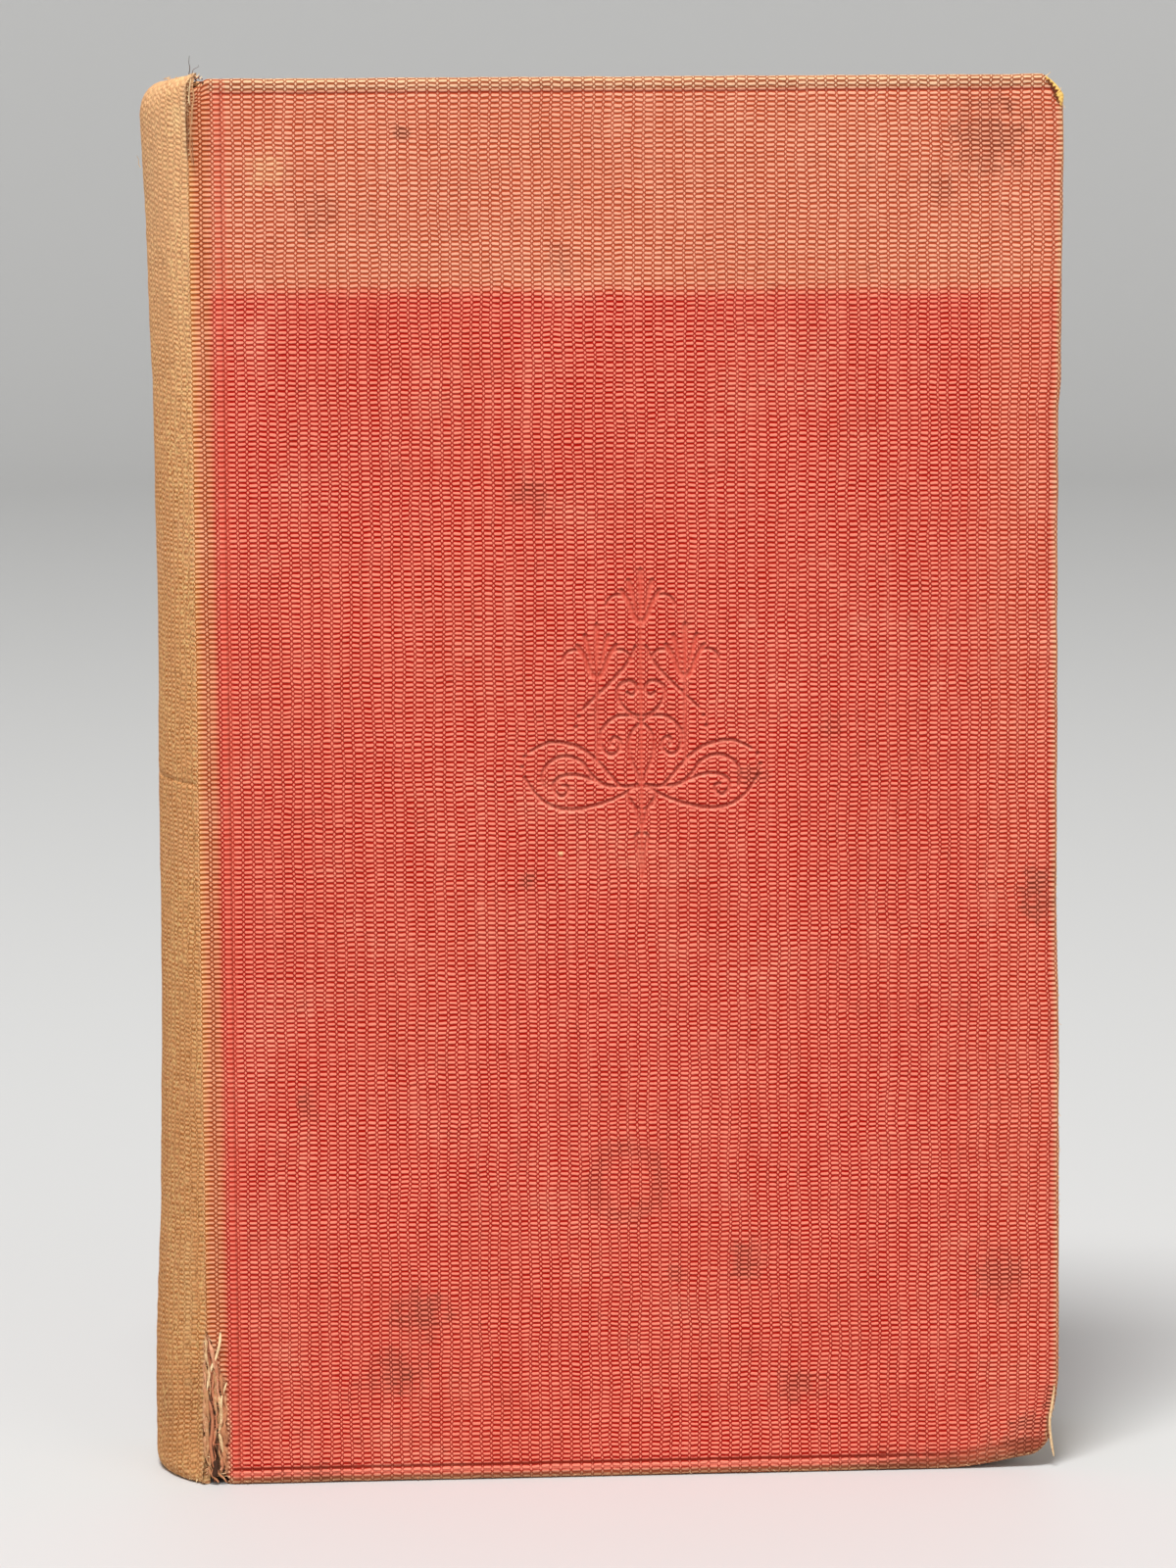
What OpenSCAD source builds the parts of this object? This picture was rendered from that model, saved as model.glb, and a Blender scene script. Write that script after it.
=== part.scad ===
// Cloth-bound hardback book, closed and standing on its tail.
// Millimetres. +Z runs up the spine, the front cover faces -Y and the spine is on the -X side.
// The origin is at the middle of the footprint, on the surface that the book stands on.

/* [Boards] */
// Height of each board
board_h = 189; // [150:1:240]
// Width of each board, from the joint to the fore edge
board_w = 113; // [90:1:160]
// Thickness of each board
board_t = 2.4; // [1.8:0.1:4]
// Radius that wear has put on the boards' fore edge corners
corner_r = 3; // [1:0.5:6]

/* [Cloth] */
// Thickness of the book cloth
cloth_t = 0.45; // [0.3:0.05:0.6]
// Width of the cloth that is turned in over the inside of a board
turn_in = 15; // [10:1:22]
// Radius of the cloth where it goes round a board's edge
edge_r = 0.9; // [0.5:0.1:1.2]
// Width of the joint, from the shoulder's ridge to the board
joint_w = 3; // [2.4:0.2:5]
// Depth of the groove that the cloth makes in the joint
groove_d = 0.9; // [0.5:0.1:1.4]

/* [Spine] */
// Rise of the rounded back above the shoulders' ridges
spine_rise = 6; // [4:0.5:8]
// How much further the back stands out at head and tail than half way up
spine_flare = 0.5; // [0.1:0.1:0.8]
// How far the caps at head and tail lean in over the leaves
cap_lean = 4; // [2:0.25:4.25]
// Height over which a cap leans in
cap_rise = 4.5; // [3:0.5:6]
// Width of the straight end of a cap, beside each joint
cap_side_w = 2.5; // [1.5:0.5:4]
// Height of the cloth that is turned in behind a cap
cap_turn_in = 13; // [8:1:20]
// Thickness of the card strip inside the back
inlay_t = 0.4; // [0.2:0.05:0.6]
// Space between the case's back and the lining of the leaves
hollow_gap = 0.3; // [0.2:0.1:0.6]
// How far the shoulders' ridges lie below the faces of the covers
ridge_drop = 0.3; // [0.2:0.05:0.6]

/* [Leaves] */
// Thickness of all the leaves together
leaves_t = 22; // [14:1:40]
// How far the boards stand past the leaves at head, tail and fore edge
square = 3; // [2:0.5:5]
// Depth of the hollow of the fore edge
fore_hollow = 4; // [2:0.5:4.5]
// Thickness of the endpapers
paper_t = 0.15; // [0.1:0.05:0.3]
// Thickness of the mull, the open cloth glued over the sections
mull_t = 0.2; // [0.1:0.05:0.3]
// Width of each wing of the mull on the inside of a board
mull_wing = 28; // [20:1:40]
// How far the mull ends short of the leaves at head and tail
mull_inset = 13; // [12:1:25]
// Thickness of the paper lining over the mull
lining_t = 0.25; // [0.1:0.05:0.4]
// How far the lining and the bands end short of the shoulders
lining_inset = 1.3; // [0.5:0.1:3]
// Thickness of the bead of the head and tail bands
band_d = 1.4; // [1:0.1:2]
// Height of the tape that holds a band on the back of the leaves
band_tape_h = 8; // [5:1:10]

/* [Stamping] */
// Depth of the blind stamping
stamp_d = 0.2; // [0.1:0.05:0.25]
// Width of a stamped line
line_w = 0.4; // [0.3:0.05:0.6]
// Height of the stamped ornament
ornament_h = 42; // [30:1:60]
// How far the ornament's middle lies above the middle of the cover
ornament_up = 8.5; // [0:0.5:20]
// Distance of the border line from the head and tail of the cover
border_end = 2; // [1.5:0.25:6]
// Distance of the border line from the fore edge and the joint
border_side = 1.3; // [1.25:0.25:6]

/* [Wear] */
// Reach of the worn-through cloth at the head's fore corner
worn_head = 5; // [3:0.5:9]
// Reach of the worn-through cloth at the tail's fore corner
worn_tail = 7; // [3:0.5:9]
// Length of the split in the front joint at the head
split_head = 11.5; // [5:0.5:20]
// Length of the split in the front joint at the tail
split_tail = 20; // [5:0.5:30]

/* [Fits] */
// Room left between two pieces that are pasted together
paste = 0.05; // [0.02:0.01:0.1]
// Room left between a cover and the leaves
cover_gap = 0.3; // [0.2:0.05:0.6]
// Room left on each side of a hinge line between the two halves of the cloth
hinge_gap = 0.15; // [0.1:0.05:0.3]

/* [Hidden] */
$fn = 96;

// Levels through the thickness, counted from the middle of the leaves to the outside of a cover
fly_y = leaves_t / 2 + paste;
paste_y = fly_y + paper_t + cover_gap;
turn_y = paste_y + paper_t + paste;
board_y = turn_y + cloth_t + paste;
cloth_y = board_y + board_t + paste;
cover_y = cloth_y + cloth_t;

// Heights
cover_h = board_h + 2 * (cloth_t + paste);
leaf_z = square;
leaf_h = cover_h - 2 * square;

// Places from the spine to the fore edge
cover_w = spine_rise + joint_w + board_w + paste + cloth_t;
fore_x = cover_w / 2;
board_x1 = fore_x - cloth_t - paste;
board_x0 = board_x1 - board_w;
ridge_x = board_x0 - joint_w;
hinge_x = board_x0 - joint_w / 2;
leaf_x = fore_x - square;

// The rounded back: radius and centre of the cloth's outside, at its ends and half way up
ridge_y = cover_y - ridge_drop;
back_r = (ridge_y * ridge_y + spine_rise * spine_rise) / (2 * spine_rise);
back_x = ridge_x - spine_rise + back_r;
back_mid_r = back_r - spine_flare;
back_angle = asin(ridge_y / back_r);
fold_t = 2 * cloth_t + inlay_t + 2 * paste;
side_angle = bend(cap_side_w, back_r);
inlay_angle = back_angle - side_angle - bend(hinge_gap + 2 * paste, back_r);

// The back of the leaves and what is glued on it
lining_r = back_mid_r - fold_t - hollow_gap;
mull_r = lining_r - lining_t - paste;
leaf_r = mull_r - mull_t - paste;
tip_x = hinge_x - hinge_gap;
tip_y = sqrt(leaf_r * leaf_r - pow(back_x - tip_x, 2));
leaf_angle = asin(tip_y / leaf_r);
lining_angle = leaf_angle - bend(lining_inset, leaf_r);
fore_r = (pow(leaves_t / 2, 2) + fore_hollow * fore_hollow) / (2 * fore_hollow);

// Steps used where a curve is drawn as a row of short flats
arc_steps = 5;
back_steps = 4;
stroke_steps = 3;
over = 1;
ornament_k = ornament_h / 42;

// Angle that a length takes up when it is bent round a radius
function bend(length, radius) = length / radius * 180 / PI;

// Points of an arc, or of a quarter ellipse if the two radii differ
function arc(x, y, rx, ry, from, to) = [
    for (i = [0:arc_steps]) let (a = from + (to - from) * i / arc_steps) [x + rx * cos(a), y + ry * sin(a)]
];

// Points of a rectangle with rounded corners, given low and high corners and one radius each for its four corners
function rounded(x0, y0, x1, y1, r00, r10, r11, r01) = concat(
    arc(x0 + r00, y0 + r00, r00, r00, 180, 270), arc(x1 - r10, y0 + r10, r10, r10, 270, 360),
    arc(x1 - r11, y1 - r11, r11, r11, 0, 90), arc(x0 + r01, y1 - r01, r01, r01, 90, 180)
);

// A smooth curve through chosen points
function between(a, b, c, d, t) =
    0.5 * (2 * b + (c - a) * t + (2 * a - 5 * b + 4 * c - d) * t * t + (3 * b - a - 3 * c + d) * t * t * t);
function smooth(p) = [
    for (i = [0:len(p) - 2], j = [0:stroke_steps - 1])
        between(p[max(i - 1, 0)], p[i], p[i + 1], p[min(i + 2, len(p) - 1)], j / stroke_steps),
    p[len(p) - 1]
];

// Unit normal of a path at its point i
function normal(p, i) =
    let (d = p[min(i + 1, len(p) - 1)] - p[max(i - 1, 0)]) [-d[1], d[0]] / norm(d);

// Share of a stroke's width along its length: a line tapers at both ends, a lobe swells towards its tip
function line_share(t) = 0.4 + 0.6 * sqrt(max(0, sin(180 * t)));
function lobe_share(t) = t < 0.8 ? 0.25 + 0.75 * sin(90 * t / 0.8) : sqrt(max(0.05, 1 - pow((t - 0.8) / 0.2, 2)));

// Radius of the back's outside at height z
function back_at(z) = back_r - spine_flare * (1 - pow((z - cover_h / 2) / (cover_h / 2 - cap_rise), 2));

// One side of the back's cloth between two heights, inset from its outside
function back_line(inset, from, to) = [
    for (i = [0:back_steps]) let (z = from + (to - from) * i / back_steps) [back_at(z) - inset, z]
];

// Section of a flat plate with round fore edge corners, seen from above
function flat_section(inner, outer, inset, from_x, edge) =
    rounded(from_x, -outer, fore_x - inset, -inner, 0, edge, edge, 0);

// A plate across one cover: its section from above, cut to round edges at head and tail and to round corners
module plate(section, inner, outer, inset, from_x, corner, edge) {
    top = cover_h - inset;
    right = fore_x - inset;
    intersection() {
        linear_extrude(cover_h)
            polygon(section);
        translate([from_x - over, 0, 0])
            rotate([90, 0, 90])
                linear_extrude(cover_w + 2 * over)
                    polygon(rounded(-outer, inset, -inner, top, edge, edge, edge, edge));
        translate([0, over, 0])
            rotate([90, 0, 0])
                linear_extrude(cover_y + 2 * over)
                    polygon(rounded(from_x, inset, right, top, 0, corner, corner, 0));
    }
}

// A sector of a ring about the back's centre, standing on height z
module back_sector(inner, outer, z, h, half_angle) {
    translate([back_x, 0, z])
        rotate_extrude(angle = 2 * half_angle, start = 180 - half_angle)
            translate([inner, 0])
                square([outer - inner, h]);
}

// The opposite cover's copy of a piece
module to_back() {
    mirror([0, 1, 0]) children();
}

module text_block() {
    color([0.87, 0.8, 0.64])
        translate([0, 0, leaf_z])
            linear_extrude(leaf_h)
                difference() {
                    intersection() {
                        leaf_outline();
                        union() {
                            translate([back_x, 0]) circle(leaf_r);
                            translate([back_x, -cover_y]) square([cover_w, 2 * cover_y]);
                        }
                    }
                    translate([leaf_x - fore_hollow + fore_r, 0]) circle(fore_r);
                }
}

// Outline of the leaves before the back is rounded: flat sides, then shoulders that flare out at the joints
module leaf_outline() {
    half = leaves_t / 2;
    shoulder_x = tip_x + hinge_gap;
    polygon([
        [leaf_x, -half], [shoulder_x, -half], [tip_x, -tip_y], [tip_x - 2 * spine_rise, -tip_y],
        [tip_x - 2 * spine_rise, tip_y], [tip_x, tip_y], [shoulder_x, half], [leaf_x, half]
    ]);
}

module spine_mull() {
    color([0.78, 0.7, 0.52])
        back_sector(leaf_r + paste, mull_r, leaf_z + mull_inset, leaf_h - 2 * mull_inset, leaf_angle);
}

module spine_lining() {
    color([0.72, 0.62, 0.45])
        back_sector(mull_r + paste, lining_r, leaf_z + over, leaf_h - 2 * over, lining_angle);
}

// A band: a bead resting on the end of the leaves and a tape that goes over their edge and down their back
module band() {
    bead = band_d / 2;
    translate([back_x, 0, 0])
        rotate_extrude(angle = 2 * lining_angle, start = 180 - lining_angle)
            union() {
                translate([leaf_r + paste, -band_tape_h]) square([mull_t, band_tape_h + paste + mull_t]);
                translate([leaf_r - band_d, paste]) square([band_d + paste + mull_t, mull_t]);
                translate([leaf_r - band_d, bead + paste]) circle(bead, $fn = 12);
            }
}

module head_band() {
    color([0.45, 0.52, 0.55])
        translate([0, 0, leaf_z + leaf_h]) band();
}

module tail_band() {
    color([0.45, 0.52, 0.55])
        translate([0, 0, leaf_z]) mirror([0, 0, 1]) band();
}

module spine_inlay() {
    low = cap_rise + paste;
    high = cover_h - cap_rise - paste;
    color([0.6, 0.5, 0.36])
        translate([back_x, 0, 0])
            rotate_extrude(angle = 2 * inlay_angle, start = 180 - inlay_angle)
                polygon(concat(
                    back_line(cloth_t + paste + inlay_t, low, high),
                    back_line(cloth_t + paste, high, low)
                ));
}

// Section of the back's cloth: outer layer, caps folded over at head and tail, and the cloth turned in behind them
module back_section() {
    foot = cap_rise;
    head = cover_h - cap_rise;
    slot_in = fold_t - cloth_t;
    cap_r = back_r - cap_lean;
    polygon(concat(
        arc(cap_r, foot, cap_lean, cap_rise, -90, 0),
        back_line(0, foot, head),
        arc(cap_r, head, cap_lean, cap_rise, 0, 90),
        arc(cap_r, head, cap_lean - fold_t, cap_rise - fold_t, 90, 0),
        back_line(fold_t, head, cover_h - cap_turn_in),
        back_line(slot_in, cover_h - cap_turn_in, head),
        back_line(cloth_t, head, foot),
        back_line(slot_in, foot, cap_turn_in),
        back_line(fold_t, cap_turn_in, foot),
        arc(cap_r, foot, cap_lean - fold_t, cap_rise - fold_t, 0, -90)
    ));
}

// The strip of cloth between the back and the hinge line, with the ridge that stands along the shoulder
module joint_strip() {
    low_r = back_mid_r - cloth_t;
    lap = back_angle - 2;
    groove_y = cover_y - groove_d;
    foot_x = ridge_x + groove_d;
    polygon([
        [back_x - back_r * cos(lap), -back_r * sin(lap)],
        [ridge_x, -ridge_y],
        [ridge_x + groove_d / 2, -ridge_y + ridge_drop / 2],
        [foot_x, -groove_y],
        [hinge_x - hinge_gap, -groove_y],
        [hinge_x - hinge_gap, -groove_y + cloth_t],
        [foot_x, -groove_y + cloth_t],
        [back_x - low_r * cos(lap), -low_r * sin(lap)]
    ]);
}

// Straight end of the tail's cap, set a little inside the back's own faces
module cap_side() {
    translate([back_x, 0, cloth_t])
        rotate_extrude(angle = side_angle, start = 180 + back_angle - side_angle - bend(paste, back_r))
            translate([back_r - fold_t + paste, 0])
                square([fold_t - 2 * paste, cap_turn_in - 3 * cloth_t]);
}

// The front half of the back: its rounded shell, the joint's strip and the straight ends of the two caps
module half_back() {
    translate([back_x, 0, 0])
        rotate_extrude(angle = back_angle, start = 180)
            back_section();
    translate([0, 0, cloth_t])
        linear_extrude(cover_h - 2 * cloth_t) joint_strip();
    cap_side();
    translate([0, 0, cover_h]) mirror([0, 0, 1]) cap_side();
}

// A split that opens the joint's strip from its end: ragged on the back's side
module joint_split(reach) {
    width = joint_w / 2 - groove_d / 2;
    translate([hinge_x, -cover_y + groove_d + 2 * cloth_t, 0])
        rotate([90, 0, 0])
            linear_extrude(cover_y)
                polygon([
                    [over, -over], [over, reach], [-0.2 * width, reach], [-0.45 * width, 0.72 * reach],
                    [-0.4 * width, 0.6 * reach], [-0.8 * width, 0.42 * reach], [-0.7 * width, 0.3 * reach],
                    [-width, 0.12 * reach], [-0.9 * width, -over]
                ]);
}

module spine_cloth() {
    color([0.77, 0.56, 0.36])
        union() {
            difference() {
                half_back();
                joint_split(split_tail);
                translate([0, 0, cover_h]) mirror([0, 0, 1]) joint_split(split_head);
            }
            to_back() half_back();
        }
}

module flyleaf() {
    low_x = hinge_x + hinge_gap;
    translate([low_x, -fly_y - paper_t, leaf_z])
        cube([leaf_x - low_x, paper_t, leaf_h]);
}

module front_flyleaf() {
    color([0.88, 0.82, 0.68]) flyleaf();
}

module back_flyleaf() {
    color([0.88, 0.82, 0.68]) to_back() flyleaf();
}

module board() {
    inset = cloth_t + paste;
    outer = board_y + board_t;
    section = flat_section(board_y, outer, inset, board_x0, edge_r / 2);
    plate(section, board_y, outer, inset, board_x0, corner_r, edge_r / 2);
}

module front_board() {
    color([0.72, 0.6, 0.38]) board();
}

module back_board() {
    color([0.72, 0.6, 0.38]) to_back() board();
}

// Section of a cover's cloth before the board's place is cut: from the hinge line it lies in the groove, steps up
// over the board's edge, and goes on to the fore edge
function cloth_section(slot_x) =
    let (groove_y = cover_y - groove_d, low_x = hinge_x + hinge_gap, round_x = fore_x - edge_r) concat(
        [
            [low_x, -groove_y],
            [slot_x - groove_d / 2, -groove_y],
            [slot_x - groove_d / 4, -cover_y + groove_d / 3],
            [slot_x, -cover_y + groove_d / 8],
            [slot_x + groove_d, -cover_y]
        ],
        arc(round_x, -cover_y + edge_r, edge_r, edge_r, 270, 360),
        arc(round_x, -turn_y - edge_r, edge_r, edge_r, 0, 90),
        [[slot_x, -turn_y], [slot_x, -groove_y + cloth_t], [low_x, -groove_y + cloth_t]]
    );

// Cloth of one cover: outer face, edges and turn-ins, open at the joint and over the board's middle
module cover_cloth() {
    slot_x = board_x0 - paste;
    slot_y = board_y - paste;
    difference() {
        plate(cloth_section(slot_x), turn_y, cover_y, 0, hinge_x, corner_r + cloth_t, edge_r);
        plate(
            flat_section(slot_y, cloth_y, cloth_t, slot_x, edge_r / 2),
            slot_y, cloth_y, cloth_t, slot_x, corner_r, edge_r / 2
        );
        translate([slot_x - over, -board_y, turn_in])
            cube([fore_x - turn_in - slot_x + over, board_y, cover_h - 2 * turn_in]);
    }
}

// Cloth worn away at a fore edge corner, with a ragged rim. The corner is at the origin, the cover lies below and left
module worn_corner(reach) {
    translate([0, over, 0])
        rotate([90, 0, 0])
            linear_extrude(cover_y + 2 * over)
                polygon([
                    [over, over], [-reach, over], [-0.9 * reach, -0.1 * reach], [-0.62 * reach, -0.18 * reach],
                    [-0.5 * reach, -0.36 * reach], [-0.3 * reach, -0.42 * reach], [-0.26 * reach, -0.7 * reach],
                    [-0.1 * reach, -0.85 * reach], [over, -1.2 * reach]
                ]);
}

// One stamped stroke along a smooth curve through the given points, on one side or mirrored on both
module stroke(points, width, lobe = false) {
    path = smooth(points * ornament_k);
    last = len(path) - 1;
    half = [for (i = [0:last]) width / 2 * (lobe ? lobe_share(i / last) : line_share(i / last))];
    polygon(concat(
        [for (i = [0:last]) path[i] + normal(path, i) * half[i]],
        [for (i = [last:-1:0]) path[i] - normal(path, i) * half[i]]
    ));
}

// Palmette of five lobes between two curled arms, rising from its base at the origin
module palmette() {
    stroke([[0, 0.6], [0, 4], [0, 7.3]], 1, lobe = true);
    for (side = [1, -1]) {
        stroke([[side * 0.2, 1.3], [side * 0.75, 4], [side * 1.45, 6.2]], 0.9, lobe = true);
        stroke([[side * 0.4, 1], [side * 1.1, 3.2], [side * 2.05, 4.9]], 0.8, lobe = true);
        stroke([
            [side * 0.4, 0.2], [side * 1.2, 1.4], [side * 1.8, 2.8], [side * 2.5, 3.5], [side * 3.3, 3.65],
            [side * 4.2, 3.1], [side * 4.6, 2.2]
        ], line_w * 1.2);
    }
}

// Right half of the scrollwork. Its origin is the knot from which the stems and leaves spring
module half_scrollwork() {
    // Roof that falls from beside the middle stem and ends in two dots
    stroke([[0.7, 18.8], [1.4, 17.2], [2.4, 15.7], [4.2, 13.8], [6.1, 12], [7.8, 10.4]], line_w);
    for (dot = [[8.4, 9.3], [8.8, 7.9]])
        translate(dot * ornament_k) circle(line_w, $fn = 8);
    // Upper heart, ending in a spiral
    stroke([
        [0.1, 9.3], [1.5, 9.8], [2.7, 11], [3.2, 12.5], [2.8, 13.6], [1.7, 14.1], [0.8, 13.7], [0.6, 12.8],
        [1.2, 12.2], [1.9, 12.6]
    ], line_w);
    // Lower scroll, ending in a spiral
    stroke([
        [0.2, 8.7], [1.3, 9.3], [3, 9.4], [4.4, 8.6], [5.4, 7.2], [5.4, 5.4], [4.6, 4.3], [3.5, 4.3],
        [2.8, 5.2], [3, 6.2], [3.7, 6.5], [4.1, 5.9], [3.8, 5.4]
    ], line_w);
    // Inner ogee
    stroke([[0.1, 8.5], [1.2, 7.3], [1.7, 5.5], [1.4, 3.5], [0.7, 1.8], [0.2, 0.3]], line_w);
    // Side leaf: upper rim with its dots, lower rim, inner loop and spiral
    stroke([[0.5, 0.1], [3.1, 0.2], [5.4, 2.3], [7.8, 4.7], [9.9, 5.8], [12.7, 5.8], [14.9, 4.8]], line_w);
    for (dot = [[15.8, 3.7], [16.1, 2.5]])
        translate(dot * ornament_k) circle(line_w, $fn = 8);
    stroke([[15.8, 1.3], [13.9, -1.2], [11.5, -2.8], [8.4, -3.2], [4.9, -2.5], [2, -1.1], [0.4, 0.1]], line_w);
    stroke([
        [2.4, -0.3], [4.9, 0.2], [6.7, 1.6], [8.5, 3.5], [10.6, 3.9], [12.6, 3], [13.4, 1.3], [13, -0.6]
    ], line_w);
    stroke([
        [4, -0.5], [6.2, 0.3], [8.4, 1.2], [10.2, 1.3], [11.6, 0.5], [11.8, -0.7], [10.9, -1.4], [10.1, -1],
        [10.1, -0.3], [10.7, -0.1]
    ], line_w);
    // Small heart under the knot, and the waist and shoulder of the pendant
    stroke([[0.3, -0.3], [1.3, -0.4], [1.9, -1.3], [1.5, -2.6], [0.4, -3.2]], line_w);
    stroke([[1.8, -1.6], [0.9, -3.1], [0.5, -4.4], [0.1, -5.7]], line_w);
    stroke([[0.1, -6.1], [1, -6.4], [0.65, -8.2], [0.35, -9.9], [0.1, -12.4]], line_w);
}

// Side stems stand this far from the middle one, and these are the heights of the palmettes' bases
side_stem = 5.95;
top_base = 22.1;
side_base = 14.7;
ornament_low = -12.7;

module ornament() {
    stroke([[0, top_base + 0.5], [0, 10], [0, ornament_low]], line_w);
    translate([0, top_base] * ornament_k) palmette();
    for (side = [0, 1])
        mirror([side, 0]) {
            half_scrollwork();
            translate([side_stem, side_base] * ornament_k) palmette();
            stroke([[side_stem, side_base + 0.5], [side_stem, 9], [side_stem, 3.2]], line_w);
        }
}

// Line stamped round the front cover
module border() {
    low_x = board_x0 + border_side;
    high_x = fore_x - border_side;
    difference() {
        translate([low_x, border_end]) square([high_x - low_x, cover_h - 2 * border_end]);
        translate([low_x + line_w, border_end + line_w])
            square([high_x - low_x - 2 * line_w, cover_h - 2 * border_end - 2 * line_w]);
    }
}

module stamping() {
    middle_x = (board_x0 + fore_x) / 2;
    knot_z = cover_h / 2 + ornament_up - (top_base + 7.3 + ornament_low) / 2 * ornament_k;
    translate([0, -cover_y + stamp_d, 0])
        rotate([90, 0, 0])
            linear_extrude(stamp_d + over) {
                border();
                translate([middle_x, knot_z]) ornament();
            }
}

module front_cloth() {
    color([0.83, 0.37, 0.29])
        difference() {
            cover_cloth();
            stamping();
            translate([fore_x, 0, cover_h]) worn_corner(worn_head);
            translate([fore_x, 0, 0]) mirror([0, 0, 1]) worn_corner(worn_tail);
        }
}

module back_cloth() {
    color([0.83, 0.37, 0.29]) to_back() cover_cloth();
}

// Wing of the mull, glued on the inside of a board
module mull_flange() {
    translate([board_x0, -board_y + paste, leaf_z + mull_inset])
        cube([mull_wing, mull_t, leaf_h - 2 * mull_inset]);
}

module front_mull_flange() {
    color([0.78, 0.7, 0.52]) mull_flange();
}

module back_mull_flange() {
    color([0.78, 0.7, 0.52]) to_back() mull_flange();
}

// Pasted endpaper: it lies over the turn-ins and the mull, and sinks on to the board between them
module pastedown() {
    low_x = hinge_x + hinge_gap;
    well_x = board_x0 + mull_wing + over;
    well_w = fore_x - turn_in - over - well_x;
    well_h = cover_h - 2 * (turn_in + over);
    sink = board_y - paste - turn_y;
    translate([0, -turn_y + paste, 0])
        difference() {
            union() {
                translate([low_x, 0, leaf_z]) cube([leaf_x - low_x, paper_t, leaf_h]);
                translate([well_x, -sink, turn_in + over]) cube([well_w, sink, well_h]);
            }
            translate([well_x + paper_t, paper_t - sink, turn_in + over + paper_t])
                cube([well_w - 2 * paper_t, sink + over, well_h - 2 * paper_t]);
        }
}

module front_pastedown() {
    color([0.86, 0.79, 0.64]) pastedown();
}

module back_pastedown() {
    color([0.86, 0.79, 0.64]) to_back() pastedown();
}

text_block();
spine_mull();
spine_lining();
head_band();
tail_band();
spine_inlay();
spine_cloth();
front_flyleaf();
back_flyleaf();
front_board();
front_cloth();
front_mull_flange();
front_pastedown();
back_board();
back_cloth();
back_mull_flange();
back_pastedown();
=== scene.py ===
"""Looks of a worn, cloth-bound hardback book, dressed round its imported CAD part.

Every length in a dataclass is in millimetres, and turns into metres where a mesh is made. The book stands on its
tail: x runs from the rounded back to the fore edge, z up the spine, and the front cover faces -y.
"""

import logging
import math
from dataclasses import dataclass, field
from enum import Enum

import bmesh
import bpy
import numpy as np
from mathutils import Matrix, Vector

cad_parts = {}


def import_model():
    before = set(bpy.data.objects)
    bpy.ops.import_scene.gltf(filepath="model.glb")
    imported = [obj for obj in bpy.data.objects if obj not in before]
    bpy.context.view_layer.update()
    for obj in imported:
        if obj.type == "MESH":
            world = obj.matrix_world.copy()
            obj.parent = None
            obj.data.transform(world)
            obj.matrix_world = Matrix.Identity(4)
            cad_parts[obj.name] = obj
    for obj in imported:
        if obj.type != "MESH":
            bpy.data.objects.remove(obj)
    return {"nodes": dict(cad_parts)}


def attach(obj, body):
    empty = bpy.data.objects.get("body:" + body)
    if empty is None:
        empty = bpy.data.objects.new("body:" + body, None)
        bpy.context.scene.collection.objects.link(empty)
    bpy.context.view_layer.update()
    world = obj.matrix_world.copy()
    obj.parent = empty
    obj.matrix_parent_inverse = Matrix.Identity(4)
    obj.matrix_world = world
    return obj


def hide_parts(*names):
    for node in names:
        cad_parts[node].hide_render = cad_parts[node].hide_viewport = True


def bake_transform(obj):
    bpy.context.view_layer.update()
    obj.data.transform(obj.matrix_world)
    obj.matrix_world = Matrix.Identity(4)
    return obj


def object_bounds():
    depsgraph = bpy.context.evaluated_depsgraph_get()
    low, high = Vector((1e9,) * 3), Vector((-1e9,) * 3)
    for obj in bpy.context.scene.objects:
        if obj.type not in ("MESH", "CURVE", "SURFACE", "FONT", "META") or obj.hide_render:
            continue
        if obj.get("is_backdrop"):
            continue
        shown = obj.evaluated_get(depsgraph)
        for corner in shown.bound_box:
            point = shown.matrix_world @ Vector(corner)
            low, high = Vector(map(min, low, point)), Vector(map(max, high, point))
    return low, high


LOG = logging.getLogger("hardback")
MM = 0.001
Array = np.ndarray
Marks = dict[str, Array]
Piece = bpy.types.Object
Socket = bpy.types.NodeSocket
Colour = tuple[float, float, float, float]
Table = tuple[tuple[float, float], ...]
# Each kind of loose thread: roots, reaches, radius, shade and redness.
Fringe = list[tuple[Array, Array, float, float, float]]
# Each torn strip: path in x and z, radius, shade, redness, and distance from the book's middle.
Slivers = tuple[tuple[list[tuple[float, float]], float, float, float, float], ...]


class Side(Enum):
    """The two covers. The value is the sign of y on their outside."""

    FRONT = -1
    BACK = 1


@dataclass(frozen=True)
class BookSizes:
    """Measures that the sub-assemblies share, as in the part's source."""

    height: float = 190.0
    ridge_x: float = -55.25
    board_x0: float = -52.25
    fore_x: float = 61.25
    cover_y: float = 15.1
    ridge_y: float = 14.8
    board_out: float = 14.62
    board_in: float = 12.23
    turn_y: float = 11.7
    back_x: float = -40.0
    back_r: float = 21.25
    leaf_r: float = 18.5
    leaf_half: float = 11.0
    leaf_x: float = 58.25
    leaf_low: float = 3.0
    leaf_high: float = 187.0

    @property
    def middle(self) -> float:
        """Half of the book's height."""
        return self.height / 2


BOOK = BookSizes()


# ---- numbers and curves


def smooth_step(low: float, high: float, value: Array) -> Array:
    """Rises from 0 at low to 1 at high along the cubic 3t^2 - 2t^3.

    Args:
        low: Where the rise begins; it may be above high, and then it falls.
        high: Where it ends.
        value: Numbers to weigh.

    Returns:
        Weights from 0 to 1.
    """
    t = np.clip((value - low) / (high - low), 0.0, 1.0)
    return t * t * (3.0 - 2.0 * t)


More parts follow.
